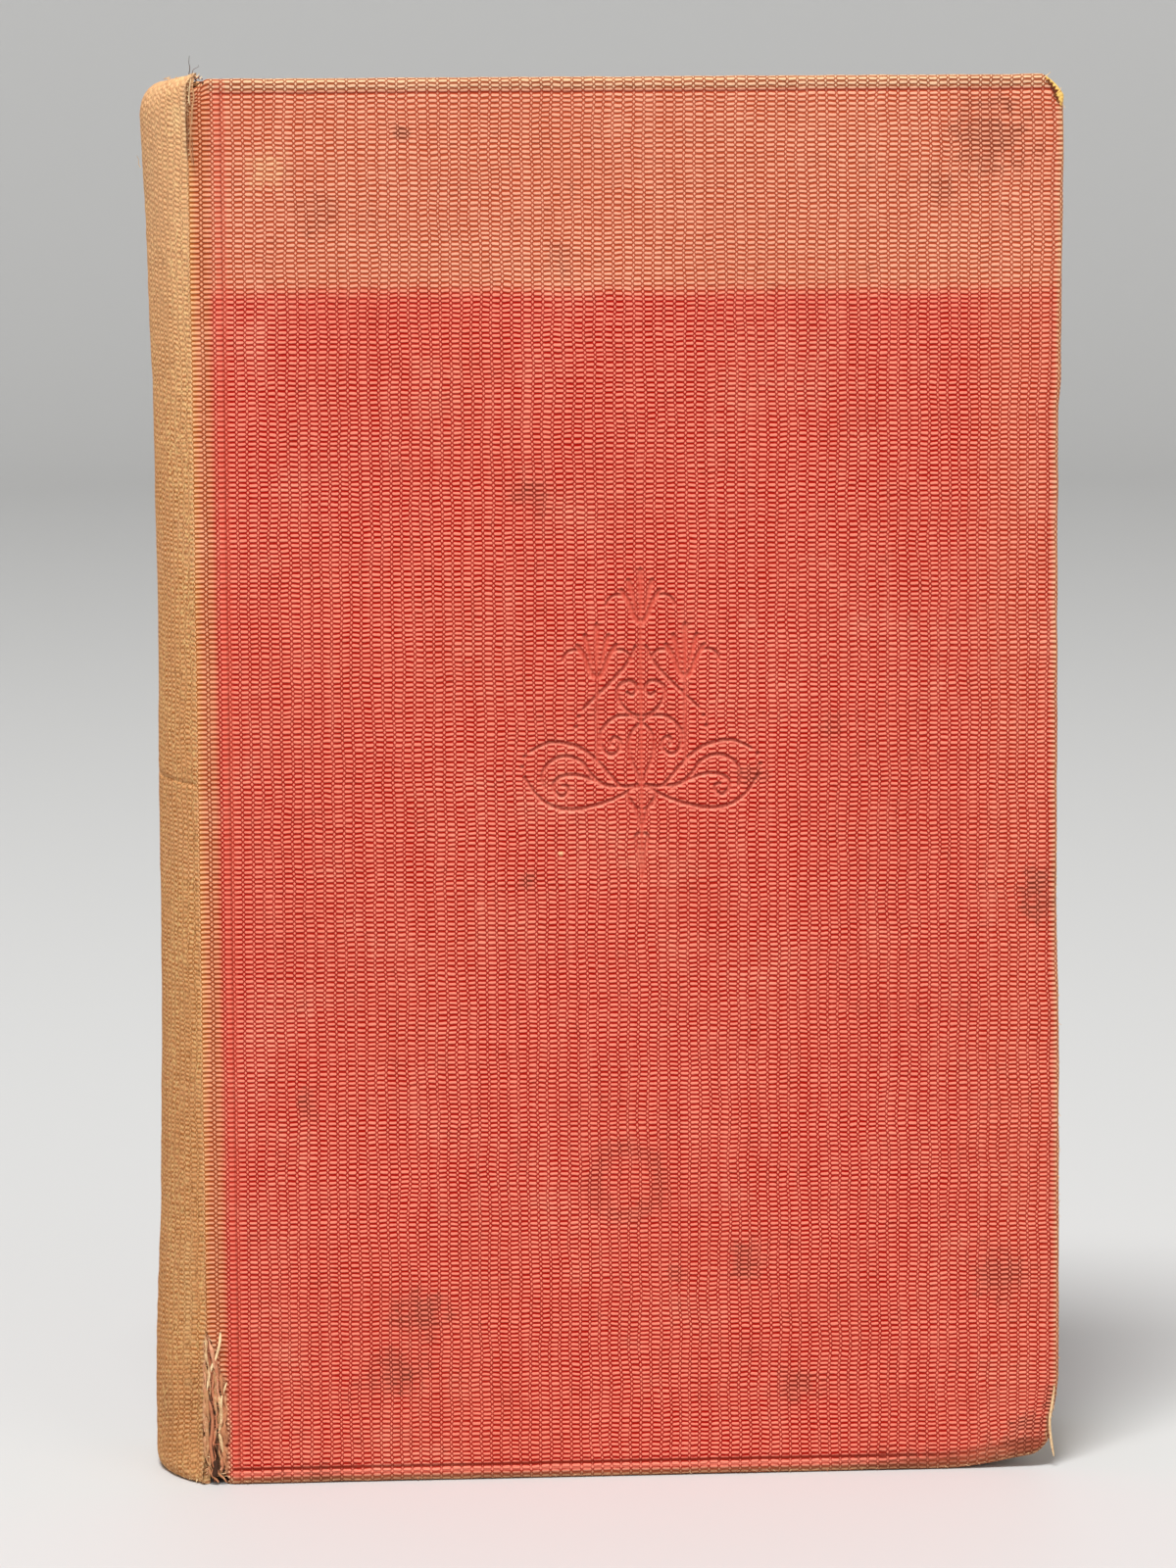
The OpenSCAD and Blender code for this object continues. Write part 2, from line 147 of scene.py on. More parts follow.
def ripple(a: Array, b: Array, size: float, seed: int, waves: int = 9) -> Array:
    """Smooth unevenness: the mean of sine waves whose direction, length and phase are drawn from a seed.

    Args:
        a: First coordinate of each point.
        b: Second coordinate of each point.
        size: Typical length of one wave, in the same unit.
        seed: Picks the pattern.
        waves: How many sines are added.

    Returns:
        Values mostly between -1 and 1.
    """
    draw = np.random.default_rng(seed)
    total = np.zeros(np.broadcast(a, b).shape)
    for turn, stretch, phase in draw.random((waves, 3)):
        pace = 2.0 * math.pi / (size * (0.6 + 1.1 * stretch))
        angle = 2.0 * math.pi * turn
        total = total + np.sin(pace * (a * math.cos(angle) + b * math.sin(angle)) + 2.0 * math.pi * phase)
    return total / math.sqrt(waves)


def spans(*parts: tuple[float, float, float]) -> Array:
    """Stations along one axis: evenly divided parts, joined end to end.

    Args:
        parts: Start, end and rough step of each part, where each starts at the last one's end.

    Returns:
        Rising stations, without doubles.
    """
    rows = [np.linspace(low, high, max(2, round((high - low) / step) + 1)) for low, high, step in parts]
    return np.concatenate([rows[0]] + [row[1:] for row in rows[1:]])


def smooth_curve(points: list[tuple[float, float]], steps: int) -> Array:
    """Catmull-Rom curve through chosen points of the plane.

    Args:
        points: The points that it passes.
        steps: Short flats between two of them.

    Returns:
        An array of points along the curve.
    """
    p = np.array(points, float)
    p = np.vstack([p[:1], p, p[-1:]])
    t = (np.arange(steps) / steps)[None, :, None]
    a, b, c, d = (p[i : len(p) - 3 + i, None, :] for i in range(4))
    rows = 0.5 * (2 * b + (c - a) * t + (2 * a - 5 * b + 4 * c - d) * t**2 + (3 * b - a - 3 * c + d) * t**3)
    return np.vstack([rows.reshape(-1, p.shape[1]), p[-1:]])


def read_table(table: Table, place: Array) -> Array:
    """Value at each place, on straight lines between the table's pairs of place and value."""
    return np.interp(place, *np.array(table).T)


# ---- meshes


class MeshDraft:
    """Collects grids of points, their faces and their marks, and makes one mesh of them."""

    def __init__(self) -> None:
        """Starts empty."""
        self.points: list[Array] = []
        self.faces: list[Array] = []
        self.marks: list[Marks] = []
        self.count = 0

    def add_points(self, points: Array, marks: Marks | None = None) -> Array:
        """Adds points without faces.

        Args:
            points: Array whose last axis is x, y, z in millimetres.
            marks: Named values, one for each point, which become attributes.

        Returns:
            Their index numbers, in the shape of the grid.
        """
        shape = points.shape[:-1]
        number = int(np.prod(shape))
        self.points.append(points.reshape(-1, 3))
        self.marks.append({k: np.broadcast_to(v, shape).reshape(-1) for k, v in (marks or {}).items()})
        index = np.arange(self.count, self.count + number).reshape(shape)
        self.count += number
        return index

    def add_cells(self, index: Array, keep: Array | None = None) -> None:
        """Adds the four-sided faces between neighbours of a grid of index numbers.

        Args:
            index: Index numbers in rows and columns; its faces point along (row step) x (column step).
            keep: Which cells get a face, if not all.
        """
        cells = np.stack([index[:-1, :-1], index[1:, :-1], index[1:, 1:], index[:-1, 1:]], axis=-1)
        self.faces.append(cells[keep] if keep is not None else cells.reshape(-1, 4))

    def add_grid(self, points: Array, marks: Marks | None = None) -> Array:
        """Adds a grid of points and its faces, and returns the index numbers."""
        index = self.add_points(points, marks)
        self.add_cells(index)
        return index

    def add_loops(self, index: Array, inward: bool = False, capped: bool = True) -> None:
        """Adds the faces of a tube whose rings are the rows of index numbers.

        Args:
            index: Index numbers, one closed ring in each row.
            inward: Turns these faces over.
            capped: Whether each end gets a face.
        """
        ring = np.concatenate([index, index[:, :1]], axis=1)
        self.add_cells(ring[:, ::-1] if inward else ring)
        if capped:
            self.faces.append(index[:1] if inward else index[:1, ::-1])
            self.faces.append(index[-1:, ::-1] if inward else index[-1:])

    def build(self, name: str, finish: "Look | None" = None, flip: bool = False, weld: float = 0.0) -> Piece:
        """Makes the mesh object.

        Args:
            name: Name of the piece.
            finish: What it looks like, if its material isn't added later.
            flip: Turns every face over.
            weld: Distance within which points become one, in millimetres, or 0.

        Returns:
            The object, at the origin, with its place in its mesh.
        """
        mesh = bpy.data.meshes.new(name)
        points = np.vstack(self.points) * MM
        mesh.vertices.add(len(points))
        mesh.vertices.foreach_set("co", points.astype(np.float32).ravel())
        faces = [f[:, ::-1] if flip else f for f in self.faces if len(f)]
        corners = np.concatenate([f.ravel() for f in faces])
        sizes = np.concatenate([np.full(len(f), f.shape[1]) for f in faces])
        mesh.loops.add(len(corners))
        mesh.loops.foreach_set("vertex_index", corners.astype(np.int32))
        mesh.polygons.add(len(sizes))
        mesh.polygons.foreach_set("loop_start", (np.cumsum(sizes) - sizes).astype(np.int32))
        mesh.update(calc_edges=True)
        for key in sorted({k for m in self.marks for k in m}):
            rows = [m.get(key, np.zeros(len(p))) for m, p in zip(self.marks, self.points)]
            layer = mesh.attributes.new(key, "FLOAT", "POINT")
            layer.data.foreach_set("value", np.concatenate(rows).astype(np.float32))
        if weld:
            work = bmesh.new()
            work.from_mesh(mesh)
            bmesh.ops.remove_doubles(work, verts=work.verts, dist=weld * MM)
            work.to_mesh(mesh)
            work.free()
        mesh.validate()
        mesh.shade_smooth()
        piece = bpy.data.objects.new(name, mesh)
        bpy.context.scene.collection.objects.link(piece)
        if finish:
            mesh.materials.append(finish.material())
        return piece


def tubes(draft: MeshDraft, paths: Array, radii: Array, sides: int, marks: Marks, flat: float = 1.0) -> None:
    """Round or flattened threads: each ring lies on an ellipse square to its path, on axes carried by one direction.

    Args:
        draft: Mesh that gets them.
        paths: Threads by points by three coordinates.
        radii: Threads by points.
        sides: Corners of each ring.
        marks: One value for each thread, by name.
        flat: Share of the radius that is left along y.
    """
    along = np.gradient(paths, axis=1)
    along /= np.linalg.norm(along, axis=2, keepdims=True) + 1e-9
    fixed = np.where(np.abs(along[..., 1:2]) > 0.9, np.array([1.0, 0.0, 0.0]), np.array([0.0, 1.0, 0.0]))
    first = np.cross(along, fixed)
    first /= np.linalg.norm(first, axis=2, keepdims=True) + 1e-9
    second = np.cross(along, first) * flat
    turn = np.linspace(0.0, 2.0 * math.pi, sides, endpoint=False)
    ring = first[:, :, None] * np.cos(turn)[:, None] + second[:, :, None] * np.sin(turn)[:, None]
    points = paths[:, :, None] + ring * radii[:, :, None, None]
    for thread in range(len(paths)):
        shape = points[thread].shape[:2]
        index = draft.add_points(points[thread], {k: np.full(shape, v[thread]) for k, v in marks.items()})
        draft.add_loops(index, inward=True)


# ---- the stamped ornament


class Taper(Enum):
    """How a stroke's width changes from its start to its end."""

    LINE = "thins a little at both ends"
    LOBE = "swells towards a round tip"
    HORN = "thick at the root, fine at the end"


@dataclass(frozen=True)
class Stroke:
    """One pressed stroke: a smooth curve through points, counted from the ornament's knot."""

    points: list[tuple[float, float]]
    width: float = 0.8
    taper: Taper = Taper.LINE

    def outline(self) -> tuple[Array, Array]:
        """Walks the stroke.

        Returns:
            Points along it and its half width at each.
        """
        path = smooth_curve(self.points, 6)
        t = np.linspace(0.0, 1.0, len(path))
        round_tip = np.sqrt(np.maximum(0.05, 1 - ((t - 0.8) / 0.2) ** 2))
        shares = {
            Taper.LINE: 0.6 + 0.4 * np.sqrt(np.sin(math.pi * t).clip(0.0)),
            Taper.LOBE: np.where(t < 0.8, 0.3 + 0.7 * np.sin(math.pi * t / 1.6), round_tip),
            Taper.HORN: 1.0 - 0.5 * smooth_step(0.15, 0.6, t),
        }
        return path, self.width / 2 * shares[self.taper]


@dataclass
class StampedOrnament:
    """The blind-stamped device: three palmettes on stems, two hearts of scrolls, a pair of leaves and a pendant."""

    axis_x: float = 4.5
    knot_z: float = 95.2
    side_stem: float = 5.95
    top_base: float = 22.1
    side_base: float = 14.7
    foot: float = -13.3
    dot: float = 0.45

    def palmette(self, x: float, z: float) -> list[Stroke]:
        """Five lobes between two curled arms.

        Args:
            x: Place of its base across the cover.
            z: Height of its base.

        Returns:
            Its strokes.
        """
        strokes = [Stroke([(x, z + 0.4), (x, z + 4), (x, z + 7.3)], 1.15, Taper.LOBE)]
        for side in (1, -1):
            strokes += [
                Stroke([(x + side * a, z + b) for a, b in points], width, taper)
                for points, width, taper in (
                    ([(0.5, 1.4), (1.1, 3.8), (1.65, 5.8)], 1.05, Taper.LOBE),
                    ([(0.8, 1.0), (1.7, 2.9), (2.7, 4.4)], 1.0, Taper.LOBE),
                    ([(0.35, 0.0), (1.0, 1.0), (1.5, 2.3), (2.3, 3.4), (3.3, 3.65), (4.2, 3.1), (4.6, 2.2)], 1.15,
                     Taper.HORN),
                )
            ]
        return strokes

    def lines(self) -> list[Stroke]:
        """The fine strokes of the right half; the left one is its mirror image.

        Returns:
            Curved strokes and dots.
        """
        curves = [
            [(self.side_stem, self.side_base + 0.5), (self.side_stem, 9), (self.side_stem, 3.2)],
            [(0.7, 18.8), (1.4, 17.2), (2.4, 15.7), (4.2, 13.8), (6.1, 12), (7.8, 10.4)],
            [(0.1, 9.3), (1.5, 9.8), (2.7, 11), (3.2, 12.5), (2.8, 13.6), (1.7, 14.1), (0.8, 13.7), (0.6, 12.8),
             (1.2, 12.2), (1.9, 12.6)],
            [(0.2, 8.7), (1.3, 9.3), (3, 9.4), (4.4, 8.6), (5.4, 7.2), (5.4, 5.4), (4.6, 4.3), (3.5, 4.3),
             (2.8, 5.2), (3, 6.2), (3.7, 6.5), (4.1, 5.9), (3.8, 5.4)],
            [(0.1, 8.5), (1.2, 7.3), (1.7, 5.5), (1.4, 3.5), (0.7, 1.8), (0.2, 0.3)],
            [(0.5, 0.1), (2.4, -0.2), (3.5, 0.5), (5.4, 2.7), (7.3, 4.5), (9.5, 5.6), (12.4, 5.9), (14.9, 4.8)],
            [(15.8, 1.3), (14.2, -1.2), (11.9, -2.8), (9.2, -3.2), (6.3, -2.7), (3.2, -1.6), (0.4, 0.1)],
            [(2.4, -0.2), (3.9, -0.1), (5.4, 0.3), (6.9, 1.6), (8.2, 3.3), (10.1, 4.0), (11.8, 3.6), (13, 2.5),
             (13.4, 1.2), (13.1, -0.4)],
            [(4, -0.4), (6.2, 0.6), (8.4, 1.4), (10.4, 1.4), (11.7, 0.6), (11.8, -0.6), (10.9, -1.4), (10.0, -0.9),
             (10.0, -0.1), (10.7, 0.1)],
            [(0.3, -0.3), (1.3, -0.4), (1.9, -1.3), (1.5, -2.6), (0.4, -3.2)],
            [(1.8, -1.6), (0.9, -3.1), (0.5, -4.4), (0.1, -5.7)],
            [(0.3, -6.5), (0.8, -7.0), (0.6, -8.4), (0.35, -9.9), (0.1, -12.4)],
        ]
        dots = [(8.4, 9.3), (8.8, 7.9), (15.75, 4.0), (16.1, 2.6)]
        round_dots = [Stroke([(x, z + 0.05), (x, z - 0.05)], 2 * self.dot) for x, z in dots]
        return [Stroke(points) for points in curves] + round_dots

    def stems(self) -> list[Stroke]:
        """The palmettes and the middle stem, whose pressed cloth is smooth and dark."""
        stem = Stroke([(0.0, self.top_base + 0.5), (0.0, 10.0), (0.0, self.foot)], 0.6)
        return [stem] + self.palmette(0.0, self.top_base) + self.palmette(self.side_stem, self.side_base)

    def pressed(self, strokes: list[Stroke], x: Array, z: Array) -> Array:
        """How deep a set of strokes presses: 1 on a stroke's centre line, and 0 from its half width outwards.

        Args:
            strokes: The strokes.
            x: Places across the cover.
            z: Places up the cover.

        Returns:
            Shares from 0 to 1, in the shape of x.
        """
        u = np.abs(x - self.axis_x).ravel()
        v = (z - self.knot_z).ravel()
        share = np.zeros(len(u))
        for stroke in strokes:
            path, half = stroke.outline()
            low, high = path.min(axis=0) - 1, path.max(axis=0) + 1
            near = np.flatnonzero((u > low[0]) & (u < high[0]) & (v > low[1]) & (v < high[1]))
            a, b = path[:-1], path[1:]
            step = b - a
            dx = u[near][:, None] - a[:, 0]
            dz = v[near][:, None] - a[:, 1]
            t = np.clip((dx * step[:, 0] + dz * step[:, 1]) / ((step**2).sum(1) + 1e-9), 0.0, 1.0)
            away = np.hypot(dx - t * step[:, 0], dz - t * step[:, 1])
            wide = half[:-1] * (1 - t) + half[1:] * t
            share[near] = np.maximum(share[near], np.clip(1.0 - away / wide, 0.0, 1.0).max(axis=1))
        return smooth_step(0.0, 0.85, share).reshape(x.shape)


# ---- the case


# Places across the case, each with the cloth's height over the middle of the book.
JOINT_SECTION = (
    (-60.0, 14.8), (-55.25, 14.8), (-54.9, 14.6), (-54.5, 14.34), (-54.15, 14.36), (-53.65, 14.56), (-53.2, 14.36),
    (-52.75, 14.3), (-52.4, 14.62), (-52.1, 14.88), (-51.6, 15.04), (-50.9, 15.05), (-50.3, 15.1), (70.0, 15.1),
)
# Places across the case, each with its place on the flat sheet: two of the grain's columns fill the two grooves.
FLAT_SHEET = ((-55.25, -54.726), (-54.55, -54.045), (-53.6, -53.363), (-52.75, -52.682), (-52.0, -52.0), (70.0, 70.0))
# Heights, each with how far the cloth is torn back from the shoulder.
SPLIT_WIDTHS = (
    (0.0, 2.7), (14.0, 2.3), (17.5, 1.3), (20.0, 0.6), (21.5, 0.0), (178.5, 0.0), (180.0, 0.16), (184.0, 0.24),
    (187.0, 0.34), (190.0, 0.5),
)
# Heights, each with how far the worn fore edge stands out.
FORE_EDGE_DRIFT = (
    (0.0, 0.1), (8.0, 0.3), (40.0, 0.25), (62.0, 0.15), (76.0, -0.2), (146.0, -0.2), (148.5, 0.12), (165.0, 0.25),
    (176.0, 0.4), (190.0, 0.3),
)
# Heights, each with how far the rounded back swells past its arc.
BACK_SWELLS = (
    (0.0, 1.15), (12.0, 1.2), (23.0, 1.05), (31.0, 0.85), (37.0, 0.62), (60.0, 0.35), (84.0, 0.2), (100.0, 0.22),
    (120.0, -0.08), (150.0, 0.0), (165.0, 0.15), (177.0, 0.4), (190.0, 0.6),
)


def joint_section(x: Array) -> Array:
    """Height of the cloth over the book's middle: shoulder, two grooves with a fold between, then the board."""
    return read_table(JOINT_SECTION, x)


@dataclass(frozen=True)
class WornOutline:
    """How far the front cover's outline has moved: its tail corner is bumped, and its head corner is rubbed away.

    Past corner_from, along the diagonal from the middle of the head corner's arc, a share of the corner is gone.
    """

    tail_tuck: float = 1.15
    tail_lift: float = 1.75
    head_droop: float = 1.3
    head_corner: tuple[float, float] = (58.25, 187.0)
    corner_from: float = 2.3
    corner_share: float = 0.45


WORN = WornOutline()


def worn_outline(x: Array, z: Array) -> tuple[Array, Array]:
    """Moves points of the front cover to its worn outline: a bumped tail corner and a fore edge that wavers.

    Args:
        x: Places across the cover.
        z: Places up the cover.

    Returns:
        The moved places.
    """
    drift = read_table(FORE_EDGE_DRIFT, z) * smooth_step(45.0, 61.0, x)
    tucked = WORN.tail_tuck * smooth_step(54.0, 61.0, x) * smooth_step(13.0, 3.0, z)
    lift = WORN.tail_lift * smooth_step(46.0, 60.8, x) * smooth_step(16.0, 0.0, z)
    droop = WORN.head_droop * smooth_step(-52.3, -54.6, x) * smooth_step(185.5, 190.0, z)
    corner_x, corner_z = WORN.head_corner
    diagonal = ((x - corner_x) + (z - corner_z)) / math.sqrt(2.0)
    beyond = WORN.corner_share * np.maximum(diagonal - WORN.corner_from, 0.0)
    return x + (drift - tucked) - beyond, z + lift - droop - beyond


@dataclass
class CoverCloth:
    """Cloth over one board: the joint's groove, the outer face, the turned edges and the turn-ins, in one sheet."""

    side: Side
    stamped: bool = False
    corner: float = 3.0
    edge_r: float = 0.8
    turn_in: float = 15.0
    mitre_r: float = 0.3
    thickness: float = 0.5
    line_depth: float = 0.28
    stem_depth: float = 0.26
    border_depth: float = 0.13
    border_ends: float = 2.0
    border_fore: float = 1.35
    border_joint: float = 1.35
    patch_x: tuple[float, float] = (-13.0, 22.0)
    patch_z: tuple[float, float] = (80.5, 127.0)
    patch_cells: tuple[int, int] = (28, 37)
    patch_fine: int = 8
    patch_inset: float = 0.08
    squash_to: float = -50.4
    ornament: StampedOrnament = field(default_factory=StampedOrnament)

    def split(self, z: Array) -> Array:
        """How far the cloth's torn edge stands back from the shoulder, at head and tail."""
        if not self.stamped:
            return 0.0 * z
        return read_table(SPLIT_WIDTHS, z) * (1.0 + 0.07 * ripple(z, 0 * z, 2.4, 11) + 0.04 * ripple(z, 0 * z, 0.9, 12))

    def squashed(self, x: Array, z: Array) -> Array:
        """Draws the joint's stations together, so that the first one lies on the torn edge."""
        edge = BOOK.ridge_x + self.split(z)
        share = (self.squash_to - edge) / (self.squash_to - BOOK.ridge_x)
        return np.where(x < self.squash_to, self.squash_to + (x - self.squash_to) * share, x)

    def pressed(self, x: Array, z: Array) -> tuple[Array, Array, Array]:
        """Works out the stamping.

        Args:
            x: Places across the cover.
            z: Places up the cover.

        Returns:
            Its depth in millimetres, and the masks of its fine lines and of its smooth lobes.
        """
        if not self.stamped:
            return np.zeros_like(x), np.zeros_like(x), np.zeros_like(x)
        low, high = BOOK.board_x0 + self.border_joint, BOOK.fore_x - self.border_fore
        across = np.abs(x - (low + high) / 2) - (high - low) / 2
        upward = np.abs(z - BOOK.middle) - (BOOK.middle - self.border_ends)
        rim = smooth_step(0.45, 0.0, np.abs(np.maximum(across, upward)))
        line = self.ornament.pressed(self.ornament.lines(), x, z)
        lobe = self.ornament.pressed(self.ornament.stems(), x, z)
        depth = np.maximum(self.border_depth * rim, np.maximum(self.line_depth * line, self.stem_depth * lobe))
        return depth, line, lobe

    def rounded(self, x: Array, z: Array) -> tuple[Array, Array]:
        """Draws the square grid's fore corners in to quarter discs: u' = u sqrt(1 - v^2/2), v' = v sqrt(1 - u^2/2).

        Args:
            x: Places across the cover.
            z: Places up the cover.

        Returns:
            The moved places.
        """
        right = BOOK.fore_x - self.edge_r
        radius = self.corner - self.edge_r
        reach = BOOK.middle - self.edge_r
        over = np.abs(z - BOOK.middle) - (reach - radius)
        u = np.clip((x - (right - radius)) / radius, 0.0, 1.0)
        v = np.clip(over / radius, 0.0, 1.0)
        new_x = np.minimum(x, right - radius) + radius * u * np.sqrt(1 - v * v / 2)
        new_over = np.minimum(over, 0.0) + radius * v * np.sqrt(1 - u * u / 2)
        return new_x, BOOK.middle + np.sign(z - BOOK.middle) * (new_over + reach - radius)

    def sheet(self, x: Array) -> Array:
        """Place across the flat sheet, which the grain follows."""
        return read_table(FLAT_SHEET, x)

    def face(self, x: Array, z: Array) -> tuple[Array, Marks]:
        """Points of the outer face and their marks.

        Args:
            x: Grid of places across the cover, after rounding.
            z: Grid of places up the cover.

        Returns:
            Points and marks.
        """
        x = self.squashed(x, z)
        depth, line, lobe = self.pressed(x, z)
        torn = self.split(z)
        near = smooth_step(1.1, 0.0, x - BOOK.ridge_x - torn) * np.clip(torn, 0.0, 1.0)
        out = joint_section(x) - depth + 0.05 * ripple(x, z, 34.0, 3) + 0.02 * ripple(x, z, 6.0, 4)
        out = out + near * (0.12 + 0.16 * ripple(z, x, 3.1, 9))
        new_x, new_z = worn_outline(x, z) if self.stamped else (x, z)
        points = np.stack([new_x, self.side.value * out, new_z], axis=-1)
        slope = np.gradient(depth, axis=1) / (np.gradient(z + 0 * x, axis=1) + 1e-6)
        crest = 0.75 * smooth_step(-54.95, -55.25, x) * (torn < 0.05)
        marks = {"line": line, "lobe": lobe, "rub": crest, "fray": near, "sheet_a": self.sheet(x), "sheet_b": z + 0 * x}
        # Painted shade on the stamped grooves' upper walls and painted highlight on their lower walls, as if lit from
        # above.
        walls = {"roof": np.clip(-slope, 0.0, 1.0), "sill": np.clip(slope, 0.0, 1.0)}
        return points, marks | walls | {"at_x": x, "at_z": z + 0 * x}

    def rim(self, x: Array, z: Array) -> tuple[Array, Array, Array]:
        """Skeleton of the turned edge, walked from the joint along the tail, up the fore edge and back along the head.

        Args:
            x: The grid's stations across the cover.
            z: Its stations up the cover.

        Returns:
            Base points on the inner rectangle, outward normals, and the flat places x, z of the walk.
        """
        walk_x = np.concatenate([x, np.full(len(z) - 2, x[-1]), x[::-1]])
        walk_z = np.concatenate([np.full(len(x), z[0]), z[1:-1], np.full(len(x), z[-1])])
        new_x, new_z = self.rounded(walk_x, walk_z)
        base_x = np.minimum(new_x, BOOK.fore_x - self.corner)
        reach = BOOK.middle - self.corner
        base_z = BOOK.middle + np.clip(new_z - BOOK.middle, -reach, reach)
        normal = np.stack([new_x - base_x, new_z - base_z], axis=-1)
        normal /= np.linalg.norm(normal, axis=-1, keepdims=True)
        return np.stack([base_x, base_z], axis=-1), normal, np.stack([new_x, new_z], axis=-1)

    def turned(self, grid_x: Array, grid_z: Array) -> tuple[Array, Marks]:
        """Grid of the turned edge: each column goes round the board's edge and inwards as a turn-in.

        The inset m from the outline sets a point to base + (corner - m) normal. Once m passes the corner's radius
        the base rectangle shrinks instead, which mitres the corner.

        Args:
            grid_x: The face's stations across the cover.
            grid_z: Its stations up the cover.

        Returns:
            Points and marks.
        """
        base, normal, flat = self.rim(grid_x, grid_z)
        flat_x = self.squashed(flat[:, 0], flat[:, 1])
        top = joint_section(flat_x)
        board = smooth_step(-53.0, -51.6, flat_x)
        inner = board * BOOK.turn_y + (1 - board) * (top - self.thickness)
        bend = np.minimum(self.edge_r, (top - inner) / 2)
        quarter = np.linspace(0.0, math.pi / 2, 6)[1:]
        level = 0 * top
        rows = [
            (self.edge_r * (1 - math.sin(t)) + level, top - bend * (1 - math.cos(t)), level + math.sin(t))
            for t in quarter
        ]
        rows.append((level, (top + inner) / 2, level + 0.9))
        rows += [
            (self.edge_r * (1 - math.sin(t)) + level, inner + bend * (1 - math.cos(t)), level + 0.8 * math.sin(t))
            for t in quarter[::-1]
        ]
        rows += [(m + level, inner + level, level) for m in (self.edge_r, 3.0, 8.0, self.turn_in - 0.3, self.turn_in)]
        rows.append((self.turn_in + 0.05 + level, inner + np.minimum(0.45, (top - inner) / 2), level))
        inset, out, rub = (np.stack([row[i] for row in rows]) for i in range(3))
        shift = np.maximum(self.corner, inset + self.mitre_r)
        left = BOOK.ridge_x
        base_x = left + (base[:, 0] - left) * (BOOK.fore_x - shift - left) / (BOOK.fore_x - self.corner - left)
        base_z = BOOK.middle + (base[:, 1] - BOOK.middle) * (BOOK.middle - shift) / (BOOK.middle - self.corner)
        away = np.maximum(self.corner - inset, self.mitre_r)
        place_x = base_x + away * normal[:, 0]
        place_z = base_z + away * normal[:, 1]
        wear = 0.035 * ripple(place_x, place_z, 6.0, 8) * (inset < self.edge_r)
        place_x = self.squashed(place_x + wear * normal[:, 0], place_z)
        place_z = place_z + wear * normal[:, 1]
        run = np.hypot(np.diff(inset, axis=0, prepend=self.edge_r), np.diff(out, axis=0, prepend=top[None]))
        path = np.cumsum(run, axis=0)
        torn = self.split(place_z)
        marks = {
            "rub": rub * np.clip(0.8 + 0.3 * ripple(place_x, place_z, 9.0, 5), 0.0, 1.0),
            "fray": smooth_step(1.1, 0.0, place_x - left - torn) * np.clip(torn, 0.0, 1.0),
            "sheet_a": self.sheet(flat_x) + normal[:, 0] * path,
            "sheet_b": flat[:, 1] + normal[:, 1] * path,
            "at_x": place_x,
            "at_z": place_z,
        }
        new_x, new_z = worn_outline(place_x, place_z) if self.stamped else (place_x, place_z)
        return np.stack([new_x, self.side.value * out, new_z], axis=-1), marks

    def stations(self) -> tuple[Array, Array]:
        """Places of the grid's lines, close together in the joint, by the edges and along the splits.

        Returns:
            Stations across and up the cover.
        """
        edge, high = self.edge_r, BOOK.height
        split = 0.4 if self.stamped else 2.0
        cell_x = (self.patch_x[1] - self.patch_x[0]) / self.patch_cells[0]
        cell_z = (self.patch_z[1] - self.patch_z[0]) / self.patch_cells[1]
        across = [(BOOK.ridge_x, -49.8, 0.25), (-49.8, self.patch_x[0], 1.7), (*self.patch_x, cell_x)]
        across += [(self.patch_x[1], 56.0, 1.7), (56.0, BOOK.fore_x - edge, 0.26)]
        upward = [(edge, 5.0, 0.26), (5.0, 22.4, split), (22.4, self.patch_z[0], 1.7), (*self.patch_z, cell_z)]
        upward += [(self.patch_z[1], 178.0, 1.7), (178.0, 184.8, split), (184.8, high - edge, 0.26)]
        return spans(*across), spans(*upward)

    def build(self) -> Piece:
        """Makes the sheet and dresses it.

        Returns:
            The piece.
        """
        grid_x, grid_z = self.stations()
        draft = MeshDraft()
        flat_x, flat_z = np.meshgrid(grid_x, grid_z, indexing="ij")
        round_x, round_z = self.rounded(flat_x, flat_z)
        points, marks = self.face(round_x, round_z)
        index = draft.add_points(points, marks)
        keep = np.ones((len(grid_x) - 1, len(grid_z) - 1), bool)
        if self.stamped:
            i0 = int(np.abs(grid_x - self.patch_x[0]).argmin())
            j0 = int(np.abs(grid_z - self.patch_z[0]).argmin())
            i1, j1 = i0 + self.patch_cells[0], j0 + self.patch_cells[1]
            keep[i0:i1, j0:j1] = False
            self.add_patch(draft, index[i0 : i1 + 1, j0 : j1 + 1])
        draft.add_cells(index, keep)
        ring, ring_marks = self.turned(grid_x, grid_z)
        ring_index = draft.add_points(ring, ring_marks)
        first = np.concatenate([index[:, 0], index[-1, 1:-1], index[::-1, -1]])
        draft.add_cells(np.vstack([first[None], ring_index])[::-1].T)
        behind = np.array([[0.1, -0.3, 0.0], [0.25, -0.5, 0.0], [0.7, -0.5, 0.0]])[:, None]
        back = points[0][None] + behind * [1, self.side.value, 1]
        edge_marks = {key: np.broadcast_to(value[0], back.shape[:2]) for key, value in marks.items()}
        back_index = draft.add_points(back, edge_marks)
        draft.add_cells(np.vstack([index[:1], back_index])[::-1])
        name = self.side.name.lower()
        finish = BookCloth(f"red_cloth_{name}", self.side)
        return draft.build(f"{name}_cover_cloth", finish, flip=self.side is Side.BACK)

